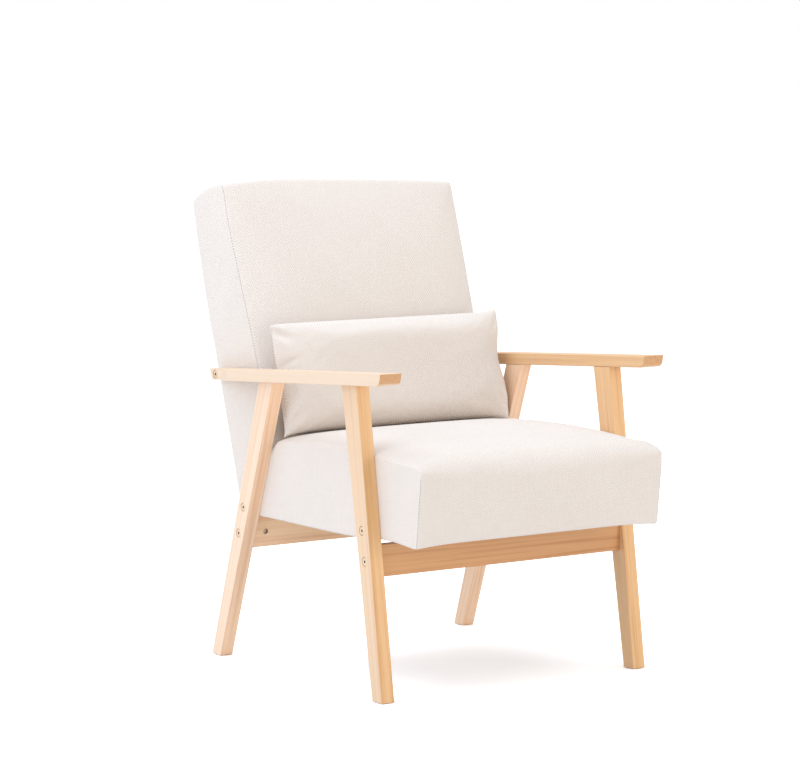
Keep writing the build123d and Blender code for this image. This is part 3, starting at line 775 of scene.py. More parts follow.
@dataclass(kw_only=True)
class BoxedCushion(ABC):
    """A foam cushion under a cover of six sewn panels."""

    name: str
    replaced: tuple[str, ...]
    half_width: float
    slanted: ReclinedFrame
    steps: Step
    inflation: Inflation
    stitched: Pair
    fill: float = 0.9
    chart_turn: float = 0.0
    crease: float = 1.0
    seam_depth: float = 1.0 * MM
    seam_hold: float = 0.9
    side_spread: float = math.radians(72)
    contact_x: float = 249.9 * MM
    lattice: dict[Step, int] = field(default_factory=dict)
    sewn: list[np.ndarray] = field(default_factory=list)

    @abstractmethod
    def section(self, share: float) -> Section:
        """Outline of the cushion at a station.

        Args:
            share: Station across, from -1 at the left to 1 at the right.

        Returns:
            The outline.
        """

    @abstractmethod
    def held(self, key: Step, place: Vector) -> float:
        """How firmly a point is held while the cover fills.

        Args:
            key: The point's lattice steps across, along and up.
            place: Its place.

        Returns:
            Weight from 0, free, to 1, fixed.
        """

    @abstractmethod
    def settle(self, places: np.ndarray) -> np.ndarray:
        """Press the filled shape against what it touches.

        Args:
            places: Vertex places, an array of triples.

        Returns:
            The new places.
        """

    def edges(self) -> list[list[Step]]:
        """Lattice paths of the crisp edges: the front uprights, crisp where they are sewn."""
        across, _, up = self.steps
        return [[(side, 0, k) for k in range(up + 1)] for side in (0, across)]

    def station(self, step: int) -> float:
        """Share across the cushion of a lattice step; the steps close up towards the sides."""
        return math.sin(self.side_spread * (2 * step / self.steps[0] - 1)) / math.sin(self.side_spread)

    def panel_key(self, panel: Panel, a: int, b: int) -> Step:
        """Lattice steps of a panel's grid point.

        Args:
            panel: The panel.
            a: First grid step.
            b: Second grid step.

        Returns:
            Steps across, along and up.
        """
        across, along, up = self.steps
        return {
            Panel.FRONT: (a, 0, b), Panel.REAR: (a, along, b), Panel.TOP: (a, b, up),
            Panel.BOTTOM: (a, b, 0), Panel.LEFT: (0, a, b), Panel.RIGHT: (across, a, b),
        }[panel]

    def build_mesh(self) -> Mesh:
        """Build the sewn cover as one closed grid with a UV map in metres.

        Returns:
            The mesh.
        """
        across, along, up = self.steps
        places: list[Triple] = []

        def put(key: Step, x: float, point: np.ndarray) -> None:
            """Add a lattice point once."""
            if self.lattice.setdefault(key, len(places)) == len(places):
                places.append((x, float(point[0]), float(point[1])))

        for i in range(across + 1):
            share = self.station(i)
            x = share * self.half_width
            outline = self.section(share)
            for k in range(up + 1):
                put((i, 0, k), x, outline.front[k])
                put((i, along, k), x, outline.rear[k])
            for j in range(along + 1):
                put((i, j, 0), x, outline.bottom[j])
                put((i, j, up), x, outline.top[j])
            if i in (0, across):
                cap = outline.cap()
                for j in range(1, along):
                    for k in range(1, up):
                        put((i, j, k), x, cap[j, k])

        middle = self.section(0.0)
        rises = [run_length(chain) for chain in (middle.front, middle.top, middle.rear)]
        faces: list[list[int]] = []
        charts: list[Pair] = []
        counts = {
            Panel.FRONT: (across, up), Panel.REAR: (across, up), Panel.TOP: (across, along),
            Panel.BOTTOM: (across, along), Panel.LEFT: (along, up), Panel.RIGHT: (along, up),
        }
        for panel, (first, second) in counts.items():
            for a in range(first):
                for b in range(second):
                    ring = [(a, b), (a + 1, b), (a + 1, b + 1), (a, b + 1)]
                    faces.append([self.lattice[self.panel_key(panel, *step)] for step in ring])
                    for step in ring:
                        place = places[self.lattice[self.panel_key(panel, *step)]]
                        charts.append(self.chart(panel, step[1] / second, place, rises))
        mesh = bpy.data.meshes.new(self.name)
        mesh.from_pydata(places, [], faces)
        finish_weave(mesh, charts)
        return mesh

    def chart(self, panel: Panel, step: float, place: Triple, rises: list[float]) -> Pair:
        """Place of a point on the flat cloth.

        Args:
            panel: The panel.
            step: Share of the way along the panel's second direction.
            place: The point in space.
            rises: Lengths of the front, top and rear chains.

        Returns:
            U and v in metres.
        """
        x, y, z = place
        if panel in (Panel.LEFT, Panel.RIGHT):
            turn, lift = math.sin(self.chart_turn), math.cos(self.chart_turn)
            return y * lift - z * turn, y * turn + z * lift
        starts = {
            Panel.FRONT: (0.0, rises[0]), Panel.TOP: (rises[0], rises[1]),
            Panel.REAR: (0.0, rises[2]), Panel.BOTTOM: (0.0, rises[1]),
        }
        start, rise = starts[panel]
        return x, start + step * rise

    def build(self) -> Piece:
        """Sew, fill, settle and smooth the cushion.

        Returns:
            The finished piece.
        """
        piece = mesh_piece(self.name, self.build_mesh(), LINEN)
        places = coordinates(piece.data)
        pins = {index: self.held(key, Vector(places[index])) for key, index in self.lattice.items()}
        self.inflation.run(piece, {index: weight for index, weight in pins.items() if weight > 0})
        set_coordinates(piece.data, self.settle(coordinates(piece.data)))
        places = coordinates(piece.data)
        paths = [[self.lattice[key] for key in path] for path in self.edges()]
        low, high = self.stitched
        seams = [[index for index in path if low < places[index, 2] < high] for path in paths[:2]]
        self.pull_seams(piece.data, seams[0] + seams[1])
        pairs = {frozenset(pair) for path in seams + paths[2:] for pair in zip(path, path[1:])}
        crease_edges(piece.data, lambda pair: self.crease if frozenset(pair) in pairs else 0.0)
        subdivide(piece)
        places = coordinates(piece.data)
        self.sewn = [places[path] for path in seams]
        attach(piece, CHAIR)
        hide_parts(*self.replaced)
        return piece

    def pull_seams(self, mesh: Mesh, rows: list[int]) -> None:
        """Draw the sewn rows into the padding.

        Args:
            mesh: The cushion's mesh.
            rows: Vertices on the seams.
        """
        places = coordinates(mesh)
        normals = np.empty(len(mesh.vertices) * 3, np.float32)
        mesh.vertex_normals.foreach_get("vector", normals)
        places[rows] -= self.seam_depth * normals.reshape(-1, 3)[rows]
        set_coordinates(mesh, places)


@dataclass(kw_only=True)
class SeatCushion(BoxedCushion):
    """The deep sprung seat: a crowned top that rolls over the nose, and flat sewn sides."""

    name: str = "seat_upholstery"
    replaced: tuple[str, ...] = ("seat_cover", "seat_foam")
    steps: Step = (62, 54, 20)
    inflation: Inflation = Inflation(pressure=4.0, most=6.0 * MM)
    stitched: Pair = (0.0, 380.0 * MM)
    nose_y: float
    slack: float = 3.0 * MM
    front_slack: float = -1.0 * MM
    front_lean: float = 14.0 * MM
    nose_level: float = 372.0 * MM
    side_nose_level: float = 388.5 * MM
    nose_round: float = 46.0 * MM
    side_nose_round: float = 52.0 * MM
    rear_round: float = 25.0 * MM
    crown_setback: float = 225.0 * MM
    front_top: float = 412.5 * MM
    crown_top: float = 421.0 * MM
    rear_top: float = 410.0 * MM
    side_drop: float = 15.0 * MM
    softness: float = 3.0
    rear_depth: float = 132.5 * MM
    overhang_rise: float = 6.5 * MM
    overhang_end: float = -212.0 * MM
    overhang_run: float = 25.0 * MM
    low_band: float = 60.0 * MM
    # The overhang's corners, across and forward from the chair's middle, rise less
    corner_start: Pair = (150.0 * MM, 280.0 * MM)
    corner_run: Pair = (100.0 * MM, 50.0 * MM)
    corner_hold: float = 0.65
    front_lift: float = 1.6 * MM
    front_lift_length: float = 110.0 * MM
    front_lift_run: float = 100.0 * MM

    def section(self, share: float) -> Section:
        """Outline of the seat at a station.

        Args:
            share: Station across, from -1 at the left to 1 at the right.

        Returns:
            The outline.
        """
        _, along, up = self.steps
        fullness = (1 - abs(share) ** self.softness) ** (1 / self.softness)
        drop = self.side_drop * (1 - fullness) + self.slack
        edge = share**4
        bottom = self.slanted.floor
        rear_top = self.rear_top - drop
        turn_level = rear_top - self.rear_round
        foot = (self.nose_y + self.front_lean + self.front_slack, bottom)
        nose_level = self.nose_level + (self.side_nose_level - self.nose_level) * edge
        nose = (self.nose_y + self.front_slack, nose_level)
        nose_round = self.nose_round + (self.side_nose_round - self.nose_round) * edge
        front_top = (nose[0] + nose_round, self.front_top - drop)
        crown = (self.nose_y + self.crown_setback, self.crown_top - drop)
        rear_edge = (self.slanted.y_at(rear_top, self.rear_depth) - self.rear_round, rear_top)
        rear_turn = (self.slanted.y_at(turn_level, self.rear_depth), turn_level)
        rear_foot = (self.slanted.y_at(bottom, self.rear_depth), bottom)
        nose_arc = arc_through(nose, rounded_middle(nose, front_top), front_top)
        crown_arc = arc_through(front_top, crown, rear_edge)
        rear_arc = arc_through(rear_edge, rounded_middle(rear_turn, rear_edge), rear_turn)
        split = len(nose_arc) // 2
        return Section(
            front=spaced(np.concatenate([[foot], nose_arc[:split + 1]]), up),
            top=spaced(np.concatenate([nose_arc[split:], crown_arc, rear_arc[:split + 1]]), along),
            rear=spaced(np.concatenate([[rear_foot], rear_arc[split:][::-1]]), up),
            bottom=spaced(np.array([foot, rear_foot]), along),
        )

    def edges(self) -> list[list[Step]]:
        """Lattice paths of the crisp edges: the sewn front uprights, and the rear ones against the back."""
        across, along, up = self.steps
        return super().edges() + [[(side, along, k) for k in range(up + 1)] for side in (0, across)]

    def held(self, key: Step, place: Vector) -> float:
        """Hold the stapled bottom, the rear face and the sewn edges.

        Args:
            key: The point's lattice steps across, along and up.
            place: Its place; not used.

        Returns:
            Weight from 0, free, to 1, fixed.
        """
        across, along, up = self.steps
        if key[2] == 0 or key[1] == along:
            return 1.0
        edge = key[0] in (0, across) and (key[1] == 0 or key[2] == up)
        return self.seam_hold if edge else 0.0

    def settle(self, places: np.ndarray) -> np.ndarray:
        """Lift the lower edge at the overhang and by the front legs, and press the sides against the legs.

        Args:
            places: Vertex places, an array of triples.

        Returns:
            The new places.
        """
        x, y, z = places.T
        ahead = ramp(-y, -self.overhang_end, self.overhang_run)
        low = 1 - ramp(z, self.slanted.floor, self.low_band)
        corner = ramp(np.abs(x), self.corner_start[0], self.corner_run[0]) ** 2
        corner = corner * ramp(-y, self.corner_start[1], self.corner_run[1])
        behind = ramp(-y, -self.overhang_end - self.front_lift_length, self.front_lift_run) * (1 - ahead)
        z = z + self.overhang_rise * ahead * low * (1 - self.corner_hold * corner)
        z = z + self.front_lift * low * behind
        return np.stack([np.clip(x, -self.contact_x, self.contact_x), y, z], 1)


@dataclass(kw_only=True)
class BackCushion(BoxedCushion):
    """The reclined back: a crowned front panel sewn to a flat band that runs round its edge.

    A pair of amounts is for the top or middle first, and for the deepest rise or the sides second. A hump is
    the share where it is highest and the share over which it falls.
    """

    name: str = "back_upholstery"
    replaced: tuple[str, ...] = ("back_cover", "back_foam")
    steps: Step = (62, 14, 72)
    inflation: Inflation = Inflation(pressure=4.0, most=5.0 * MM)
    stitched: Pair = (430.0 * MM, 1.0)
    slack: float = 2.5 * MM
    rear: float = 1.5 * MM
    low_front: float = 134.0 * MM
    top_front: float = 108.0 * MM
    low_rise: float = 150.0 * MM
    length: float = 562.0 * MM
    top_crown: float = 12.0 * MM
    left_lift: float = 8.5 * MM
    left_lift_hump: Pair = (-0.75, 0.55)
    top_round: float = 12.0 * MM
    side_tightness: float = 0.7
    front_crown: float = 12.0 * MM
    side_crown: float = 2.0 * MM
    top_swell: Pair = (3.0 * MM, 9.0 * MM)
    edge_set_back: Pair = (10.0 * MM, 16.0 * MM)
    edge_sharpness: float = 6.0
    edge_draw_in: Pair = (4.5 * MM, 10.0 * MM)
    left_tuck: float = 4.5 * MM
    tuck_length: float = 45.0 * MM
    left_swell: float = 2.5 * MM
    left_swell_hump: Pair = (0.8, 0.3)
    deepest_rise: float = 305.0 * MM
    seat_rise: float = 145.0 * MM
    seat_run: float = 50.0 * MM
    seat_level: float = 420.0 * MM
    contact_level: float = 560.0 * MM

    def section(self, share: float) -> Section:
        """Outline of the back at a station.

        Args:
            share: Station across, from -1 at the left to 1 at the right.

        Returns:
            The outline.
        """
        _, along, up = self.steps
        fullness = 1 - share**2
        lift = self.left_lift * bell(share, *self.left_lift_hump)
        crest = self.length + self.top_crown * fullness + lift - self.slack
        turn = self.top_round * (1 - self.side_tightness * share**4)
        cut = turn * (1 - math.sqrt(0.5))
        top_front = self.top_front - self.slack
        bulge = self.side_crown + (self.front_crown - self.side_crown) * fullness
        low = (self.low_rise, self.low_front)
        front_middle = ((self.low_rise + crest) / 2, (self.low_front + top_front) / 2 + bulge)
        swell = self.top_swell[0] + (self.top_swell[1] - self.top_swell[0]) * share**2
        top_middle = ((self.length - self.slack + crest) / 2 + swell, (self.rear + top_front) / 2)
        front_end, top_start = (crest - turn, top_front), (crest, top_front - turn)
        corner = arc_through(front_end, (crest - cut, top_front - cut), top_start)
        split = len(corner) // 2
        front = np.concatenate([
            [(self.slanted.floor_rise(self.low_front), self.low_front)],
            arc_through(low, front_middle, front_end),
            corner[:split + 1],
        ])
        top = np.concatenate([
            corner[split:],
            arc_through(top_start, top_middle, (self.length - self.slack, self.rear)),
        ])
        for chain in (front, top):
            chain[:, 1] -= self.grip(*chain.T, self.edge_set_back) * roll_over(share, self.edge_sharpness)
        rises = np.linspace(self.slanted.floor_rise(self.rear), top[-1][0], up + 1)
        rear = np.array([(rise, self.rear - self.slanted.bow(rise)) for rise in rises])
        bottom = np.array([front[0], rear[0]])
        chains = (spaced(front, up), spaced(top, along), spaced(rear, up), spaced(bottom, along))
        return Section(*(np.array([self.slanted.place(*point) for point in chain]) for chain in chains))

    def edges(self) -> list[list[Step]]:
        """Lattice paths of the crisp edges: the front uprights, crisp all the way down."""
        return super().edges() * 2

    def grip(self, rise: np.ndarray, depth: np.ndarray, amounts: Pair) -> np.ndarray:
        """How far the sewn edge pulls at points of a side view.

        Args:
            rise: Distance of each point up the back.
            depth: Its distance in front of the rear face.
            amounts: Pull at the top and at the deepest rise.

        Returns:
            The pull at each point, nothing at the rear or behind the seat.
        """
        down = ramp(-rise, -self.length, self.length - self.deepest_rise)
        ahead = ramp(depth, 0.0, self.top_front)
        above_seat = ramp(rise, self.seat_rise, self.seat_run)
        return (amounts[0] + (amounts[1] - amounts[0]) * down) * ahead * above_seat

    def held(self, key: Step, place: Vector) -> float:
        """Hold the rear, the bottom, the lower front behind the seat and the sewn edge.

        Args:
            key: The point's lattice steps across, along and up.
            place: Its place.

        Returns:
            Weight from 0, free, to 1, fixed.
        """
        across, along, up = self.steps
        if key[1] == along or key[2] == 0 or (key[1] == 0 and place.z < self.seat_level):
            return 1.0
        edge = key[1] == 0 and (key[0] in (0, across) or key[2] == up)
        return self.seam_hold if edge else 0.0

    def settle(self, places: np.ndarray) -> np.ndarray:
        """Draw in the sewn edges, shape the left side, and press both sides against the legs and arms.

        Args:
            places: Vertex places, an array of triples.

        Returns:
            The new places.
        """
        x, y, z = places.T
        rise, depth = self.slanted.rise_and_depth(y, z)
        x = x * (1 - self.grip(rise, depth, self.edge_draw_in) / self.half_width)
        tucked = self.left_tuck * bell(rise, self.length, self.tuck_length) * depth / self.top_front
        swollen = self.left_swell * bell(rise / self.length, *self.left_swell_hump)
        x = x + (tucked - swollen) * ramp(-x, 0.0, self.half_width) ** 4
        pressed = np.clip(x, -self.contact_x, self.contact_x)
        return np.stack([np.where(z < self.contact_level, pressed, x), y, z], 1)


@dataclass(frozen=True)
class Pucker:
    """A small pinch in the pillow's front panel, where the rim's seam gathers the cloth."""

    x: float
    rise: float
    reach: Pair
    depth: float
    turn: float = 0.0

    def press(self, x: np.ndarray, rise: np.ndarray) -> np.ndarray:
        """How far the pinch presses points in.

        Args:
            x: Place across, from the pillow's middle.
            rise: Height above its middle.

        Returns:
            Depth at each point.
        """
        cosine, sine = math.cos(math.radians(self.turn)), math.sin(math.radians(self.turn))
        along = (x - self.x) * cosine + (rise - self.rise) * sine
        across = (rise - self.rise) * cosine - (x - self.x) * sine
        return self.depth * np.exp(-((along / self.reach[0]) ** 2) - (across / self.reach[1]) ** 2)


def eased(step: int, count: int) -> float:
    """Share of a grid step, from -1 to 1, with the steps closer together at both ends."""
    return 0.5 * (math.sin(math.pi * (step / count - 0.5)) + (2 * step / count - 1))


@dataclass
class LumbarPillow:
    """The loose knife-edge pillow: two panels sewn at the rim, plump, with small ears at its corners.

    A pair of amounts is for the front, left or lower part first, then for the rear, right or upper part.
    """

    slanted: ReclinedFrame
    cad_foot: float
    name: str = "lumbar_pillow"
    stand_level: float = 410.0 * MM
    stand_depth: float = 134.3 * MM
    rim_distance: float = 25.0 * MM
    foot_drop: float = 4.5 * MM
    middle_x: float = 1.2 * MM
    half_width: float = 242.7 * MM
    half_height: float = 98.7 * MM
    bulges: Pair = (41.0 * MM, 24.0 * MM)
    loft_powers: tuple[int, int] = (5, 4)
    loft_softness: float = 0.52
    end_draw_in: Pair = (5.0 * MM, 12.0 * MM)
    left_end_power: int = 14
    right_end_hump: Pair = (0.15, 0.42)
    rim_draw_in: Pair = (2.5 * MM, 5.0 * MM)
    ear_power: int = 14
    # The upper left corner is pulled down instead of standing up
    low_ear: float = 0.8
    low_ear_power: int = 24
    lean: float = math.radians(12.4)
    droop: float = 5.0 * MM
    left_tuck: float = 5.0 * MM
    corner_power: int = 6
    steps: tuple[int, int] = (120, 50)
    cloth_ease: float = 1.18
    rim_crease: float = 0.7
    gap: float = 0.8 * MM
    inflation: Inflation = Inflation(
        pressure=3.0, most=5.0 * MM, frames=24, tension=15.0, bending=0.4, ease=0.012
    )
    puckers: tuple[Pucker, ...] = (
        Pucker(-226 * MM, 74 * MM, (16 * MM, 6 * MM), 8.0 * MM, -40),
        Pucker(-222 * MM, 24 * MM, (16 * MM, 4.5 * MM), 5.0 * MM, 24),
        Pucker(-224 * MM, 12 * MM, (14 * MM, 4 * MM), 3.5 * MM, 10),
        Pucker(-222 * MM, -72 * MM, (18 * MM, 7 * MM), 5.0 * MM, 38),
        Pucker(226 * MM, 72 * MM, (16 * MM, 6 * MM), 5.0 * MM, 42),
        Pucker(224 * MM, -66 * MM, (18 * MM, 6 * MM), 4.5 * MM, -34),
        Pucker(222 * MM, -44 * MM, (14 * MM, 4.5 * MM), 2.5 * MM, -12),
    )
    # Share of the filling's depth that a pucker leaves
    pucker_floor: float = 0.4
    fill: float = 0.8

    def sewn_point(self, step: tuple[int, int], front: bool) -> Triple:
        """A point of the sewn panels, standing upright at the origin.

        Args:
            step: Grid steps from the left and from the bottom.
            front: Whether it is on the front panel.

        Returns:
            The place.
        """
        share, rise = (eased(at, count) for at, count in zip(step, self.steps))
        if share > 0:
            drawn_in = self.end_draw_in[1] * bell(rise, *self.right_end_hump)
        else:
            drawn_in = self.end_draw_in[0] * (1 - rise**self.left_end_power)
        ear = -self.low_ear * share**self.low_ear_power if share < 0 < rise else share**self.ear_power
        height = self.half_height - self.rim_draw_in[rise > 0] * (1 - ear)
        loft = (1 - abs(share) ** self.loft_powers[0]) * (1 - abs(rise) ** self.loft_powers[1])
        depth = loft**self.loft_softness * (-self.bulges[0] if front else self.bulges[1])
        return float(share * (self.half_width - drawn_in)), depth, rise * height

    def build_mesh(self) -> tuple[Mesh, set[int]]:
        """Sew the two panels together at the rim.

        Returns:
            The mesh, and the rim's vertices.
        """
        across, up = self.steps
        index: dict[tuple[int, int, bool], int] = {}
        places: list[Triple] = []
        rim: set[int] = set()
        for front in (True, False):
            for i in range(across + 1):
                for k in range(up + 1):
                    at_rim = i in (0, across) or k in (0, up)
                    if at_rim and not front:
                        index[i, k, front] = index[i, k, True]
                        continue
                    index[i, k, front] = len(places)
                    if at_rim:
                        rim.add(len(places))
                    places.append(self.sewn_point((i, k), front))
        faces, charts = [], []
        for front in (True, False):
            for i in range(across):
                for k in range(up):
                    ring = [index[a, b, front] for a, b in ((i, k), (i + 1, k), (i + 1, k + 1), (i, k + 1))]
                    faces.append(ring)
                    charts += [(places[corner][0], places[corner][2] * self.cloth_ease) for corner in ring]
        mesh = bpy.data.meshes.new(self.name)
        mesh.from_pydata(places, [], faces)
        finish_weave(mesh, charts)
        return mesh, rim

    def place(self, upright: np.ndarray) -> np.ndarray:
        """Pinch the front, lean the pillow against the back and let its lower corners droop.

        Args:
            upright: Vertex places of the filled pillow, upright at the origin.

        Returns:
            Places in the chair.
        """
        x, spread, height = upright.T
        pressed = sum(pucker.press(x, height) for pucker in self.puckers)
        spread = np.where(spread < 0, np.minimum(spread + pressed, self.pucker_floor * spread), spread)
        rise = height + self.half_height
        corners = (np.abs(x) / self.half_width) ** self.corner_power * (1 - rise / (2 * self.half_height))
        foot_y = self.slanted.y_at(self.stand_level, self.stand_depth) - self.rim_distance
        lean, upright_share = math.sin(self.lean), math.cos(self.lean)
        return np.stack([
            x + self.middle_x + self.left_tuck * corners * (x < 0),
            foot_y + rise * lean + spread * upright_share,
            self.cad_foot - self.foot_drop + rise * upright_share - spread * lean - self.droop * corners,
        ], 1)

    def build(self, seat: Piece, back: Piece) -> Piece:
        """Sew and fill the pillow, and lay it clear of the seat and the back.

        Args:
            seat: The finished seat.
            back: The finished back.

        Returns:
            The finished piece.
        """
        mesh, rim = self.build_mesh()
        piece = mesh_piece(self.name, mesh, LINEN)
        self.inflation.run(piece, {index: 1.0 for index in rim})
        set_coordinates(piece.data, self.place(coordinates(piece.data)))
        keep_clear(piece, seat, Vector((0, 0, 1)), self.gap)
        keep_clear(piece, back, Vector((0, -1, 0)), self.gap)
        crease_edges(piece.data, lambda pair: self.rim_crease if pair <= rim else 0.0)
        subdivide(piece)
        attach(piece, PILLOW)
        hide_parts("pillow_cover", "pillow_filling")
        return piece


def keep_clear(piece: Piece, other: Piece, way: Vector, gap: float, reach: float = 150.0 * MM) -> None:
    """Push the points of a piece that lie inside another piece out of it.

    Args:
        piece: The piece that gives way.
        other: The piece that stays.
        way: Direction of the push.
        gap: Distance kept.
        reach: Depth from which a point is still pushed out.
    """
    tree = BVHTree.FromObject(other, bpy.context.evaluated_depsgraph_get())
    for vertex in piece.data.vertices:
        hit, _, _, distance = tree.ray_cast(vertex.co + way * reach, -way, reach + gap)
        if hit is not None:
            vertex.co += way * (reach + gap - distance)
    piece.data.update()


def new_tree(name: str, inputs: dict[str, str]) -> tuple[Tree, bpy.types.Node]:
    """Start a Geometry Nodes tree with named inputs.

    Args:
        name: Name of the tree.
        inputs: Socket type by input name, after the geometry.

    Returns:
        The tree, and its input node.
    """
    tree = bpy.data.node_groups.new(name, "GeometryNodeTree")
    tree.interface.new_socket("Geometry", in_out="OUTPUT", socket_type="NodeSocketGeometry")
    for socket, kind in {"Geometry": "NodeSocketGeometry", **inputs}.items():
        tree.interface.new_socket(socket, in_out="INPUT", socket_type=kind)
    return tree, add_node(tree, "NodeGroupInput")


def grow(piece: Piece, tree: Tree, values: dict[str, object]) -> None:
    """Run a tree on a piece and keep the result as its plain mesh.

    Args:
        piece: The piece, whose mesh is the tree's geometry.
        tree: The tree.
        values: Value of each named input.
    """
    maker = piece.modifiers.new(tree.name, "NODES")
    maker.node_group = tree
    for socket in tree.interface.items_tree:
        if socket.in_out == "INPUT" and socket.name in values:
            maker[socket.identifier] = values[socket.name]
    apply_modifiers(piece)


def row_tree() -> Tree:
    """Tree that sets small rounded pieces in a row along each path.

    Returns:
        The tree.
    """
    tree, start = new_tree("row_along_paths", {
        "Pitch": "NodeSocketFloat", "Length": "NodeSocketFloat", "Width": "NodeSocketFloat",
        "Finish": "NodeSocketMaterial",
    })
    paths = add_node(tree, "GeometryNodeMeshToCurve", {"Mesh": start.outputs["Geometry"]})
    points = add_node(
        tree, "GeometryNodeCurveToPoints", {"Curve": paths.outputs[0], "Length": start.outputs["Pitch"]},
        mode="LENGTH",
    )
    tangent = points.outputs["Tangent"]
    turn = add_node(tree, "FunctionNodeAlignRotationToVector", {"Vector": tangent}, axis="X")
    size = add_node(tree, "ShaderNodeCombineXYZ", {
        "X": start.outputs["Length"], "Y": start.outputs["Width"], "Z": start.outputs["Width"],
    })
    bead = add_node(tree, "GeometryNodeMeshUVSphere", {
        "Segments": BEAD_SEGMENTS, "Rings": BEAD_RINGS, "Radius": 0.5,
    })
    smooth = add_node(tree, "GeometryNodeSetShadeSmooth", {"Geometry": bead.outputs["Mesh"]})
    row = add_node(tree, "GeometryNodeInstanceOnPoints", {
        "Points": points.outputs["Points"], "Instance": smooth.outputs[0],
        "Rotation": turn.outputs[0], "Scale": size.outputs[0],
    })
    real = add_node(tree, "GeometryNodeRealizeInstances", {"Geometry": row.outputs[0]})
    dressed = add_node(
        tree, "GeometryNodeSetMaterial", {"Geometry": real.outputs[0], "Material": start.outputs["Finish"]}
    )
    add_node(tree, "NodeGroupOutput", {"Geometry": dressed.outputs[0]})
    return tree


def bolt_tree() -> Tree:
    """Tree that sets a head on each marked point and a round shank along each edge.

    Returns:
        The tree.
    """
    tree, start = new_tree("connector_bolts", {
        "Head": "NodeSocketObject", "Shank radius": "NodeSocketFloat",
        "Finish": "NodeSocketMaterial", "Socket finish": "NodeSocketMaterial",
    })
    head = add_node(tree, "GeometryNodeObjectInfo", {"Object": start.outputs["Head"]})
    marks = {}
    for name, kind in (("way", "FLOAT_VECTOR"), ("head", "BOOLEAN"), ("socket", "BOOLEAN")):
        mark = add_node(tree, "GeometryNodeInputNamedAttribute", {"Name": name}, data_type=kind)
        marks[name] = mark.outputs["Attribute"]
    turn = add_node(tree, "FunctionNodeAlignRotationToVector", {"Vector": marks["way"]}, axis="Z")
    heads = add_node(tree, "GeometryNodeInstanceOnPoints", {
        "Points": start.outputs["Geometry"], "Selection": marks["head"],
        "Instance": head.outputs["Geometry"], "Rotation": turn.outputs[0],
    })
    lines = add_node(tree, "GeometryNodeMeshToCurve", {"Mesh": start.outputs["Geometry"]})
    ring = add_node(tree, "GeometryNodeCurvePrimitiveCircle", {
        "Resolution": SHANK_SIDES, "Radius": start.outputs["Shank radius"],
    })
    shanks = add_node(tree, "GeometryNodeCurveToMesh", {
        "Curve": lines.outputs[0], "Profile Curve": ring.outputs[0], "Fill Caps": True,
    })
    whole = add_node(tree, "GeometryNodeJoinGeometry", {"Geometry": heads.outputs[0]})
    tree.links.new(shanks.outputs[0], whole.inputs["Geometry"])
    real = add_node(tree, "GeometryNodeRealizeInstances", {"Geometry": whole.outputs[0]})
    plated = add_node(
        tree, "GeometryNodeSetMaterial", {"Geometry": real.outputs[0], "Material": start.outputs["Finish"]}
    )
    # The socket's faces take the painted shade.
    sunk = add_node(tree, "GeometryNodeSetMaterial", {
        "Geometry": plated.outputs[0], "Selection": marks["socket"],
        "Material": start.outputs["Socket finish"],
    })
    add_node(tree, "NodeGroupOutput", {"Geometry": sunk.outputs[0]})
    return tree


@dataclass(frozen=True)
class Row:
    """A row of stitches or staples: distance between them, their length and width, and their finish."""

    pitch: float
    length: float
    width: float
    finish: Finish
    slot: str

    def lay(self, name: str, paths: list[np.ndarray]) -> Piece:
        """Set the row along paths.

        Args:
            name: Name of the piece.
            paths: Lines of points.

        Returns:
            The finished piece.
        """
        edges, start = [], 0
        for path in paths:
            edges += [(start + k, start + k + 1) for k in range(len(path) - 1)]
            start += len(path)
        mesh = bpy.data.meshes.new(name)
        mesh.from_pydata(np.concatenate(paths).tolist(), edges, [])
        piece = mesh_piece(name, mesh, self.finish)
        grow(piece, row_tree(), {
            "Pitch": self.pitch, "Length": self.length, "Width": self.width, "Finish": self.finish.build(),
        })
        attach(piece, CHAIR)
        return piece


SEAM_STITCHES = Row(5.0 * MM, 4.8 * MM, 0.9 * MM, SEAM_THREAD, "linen_weave")
HEM_STITCHES = Row(9.0 * MM, 5.0 * MM, 0.9 * MM, SEAM_THREAD, "linen_weave")
STAPLES = Row(45.0 * MM, 10.0 * MM, 1.2 * MM, STAPLE_WIRE, "bolt_steel")


def thicken(piece: Piece, thickness: float) -> None:
    """Give an open sheet two faces and an edge.

    Args:
        piece: The piece.
        thickness: Distance between the faces.
    """
    wall = piece.modifiers.new("cloth", "SOLIDIFY")
    wall.thickness = thickness
    wall.offset = 0.0
    apply_modifiers(piece)
    face_outward(piece.data)


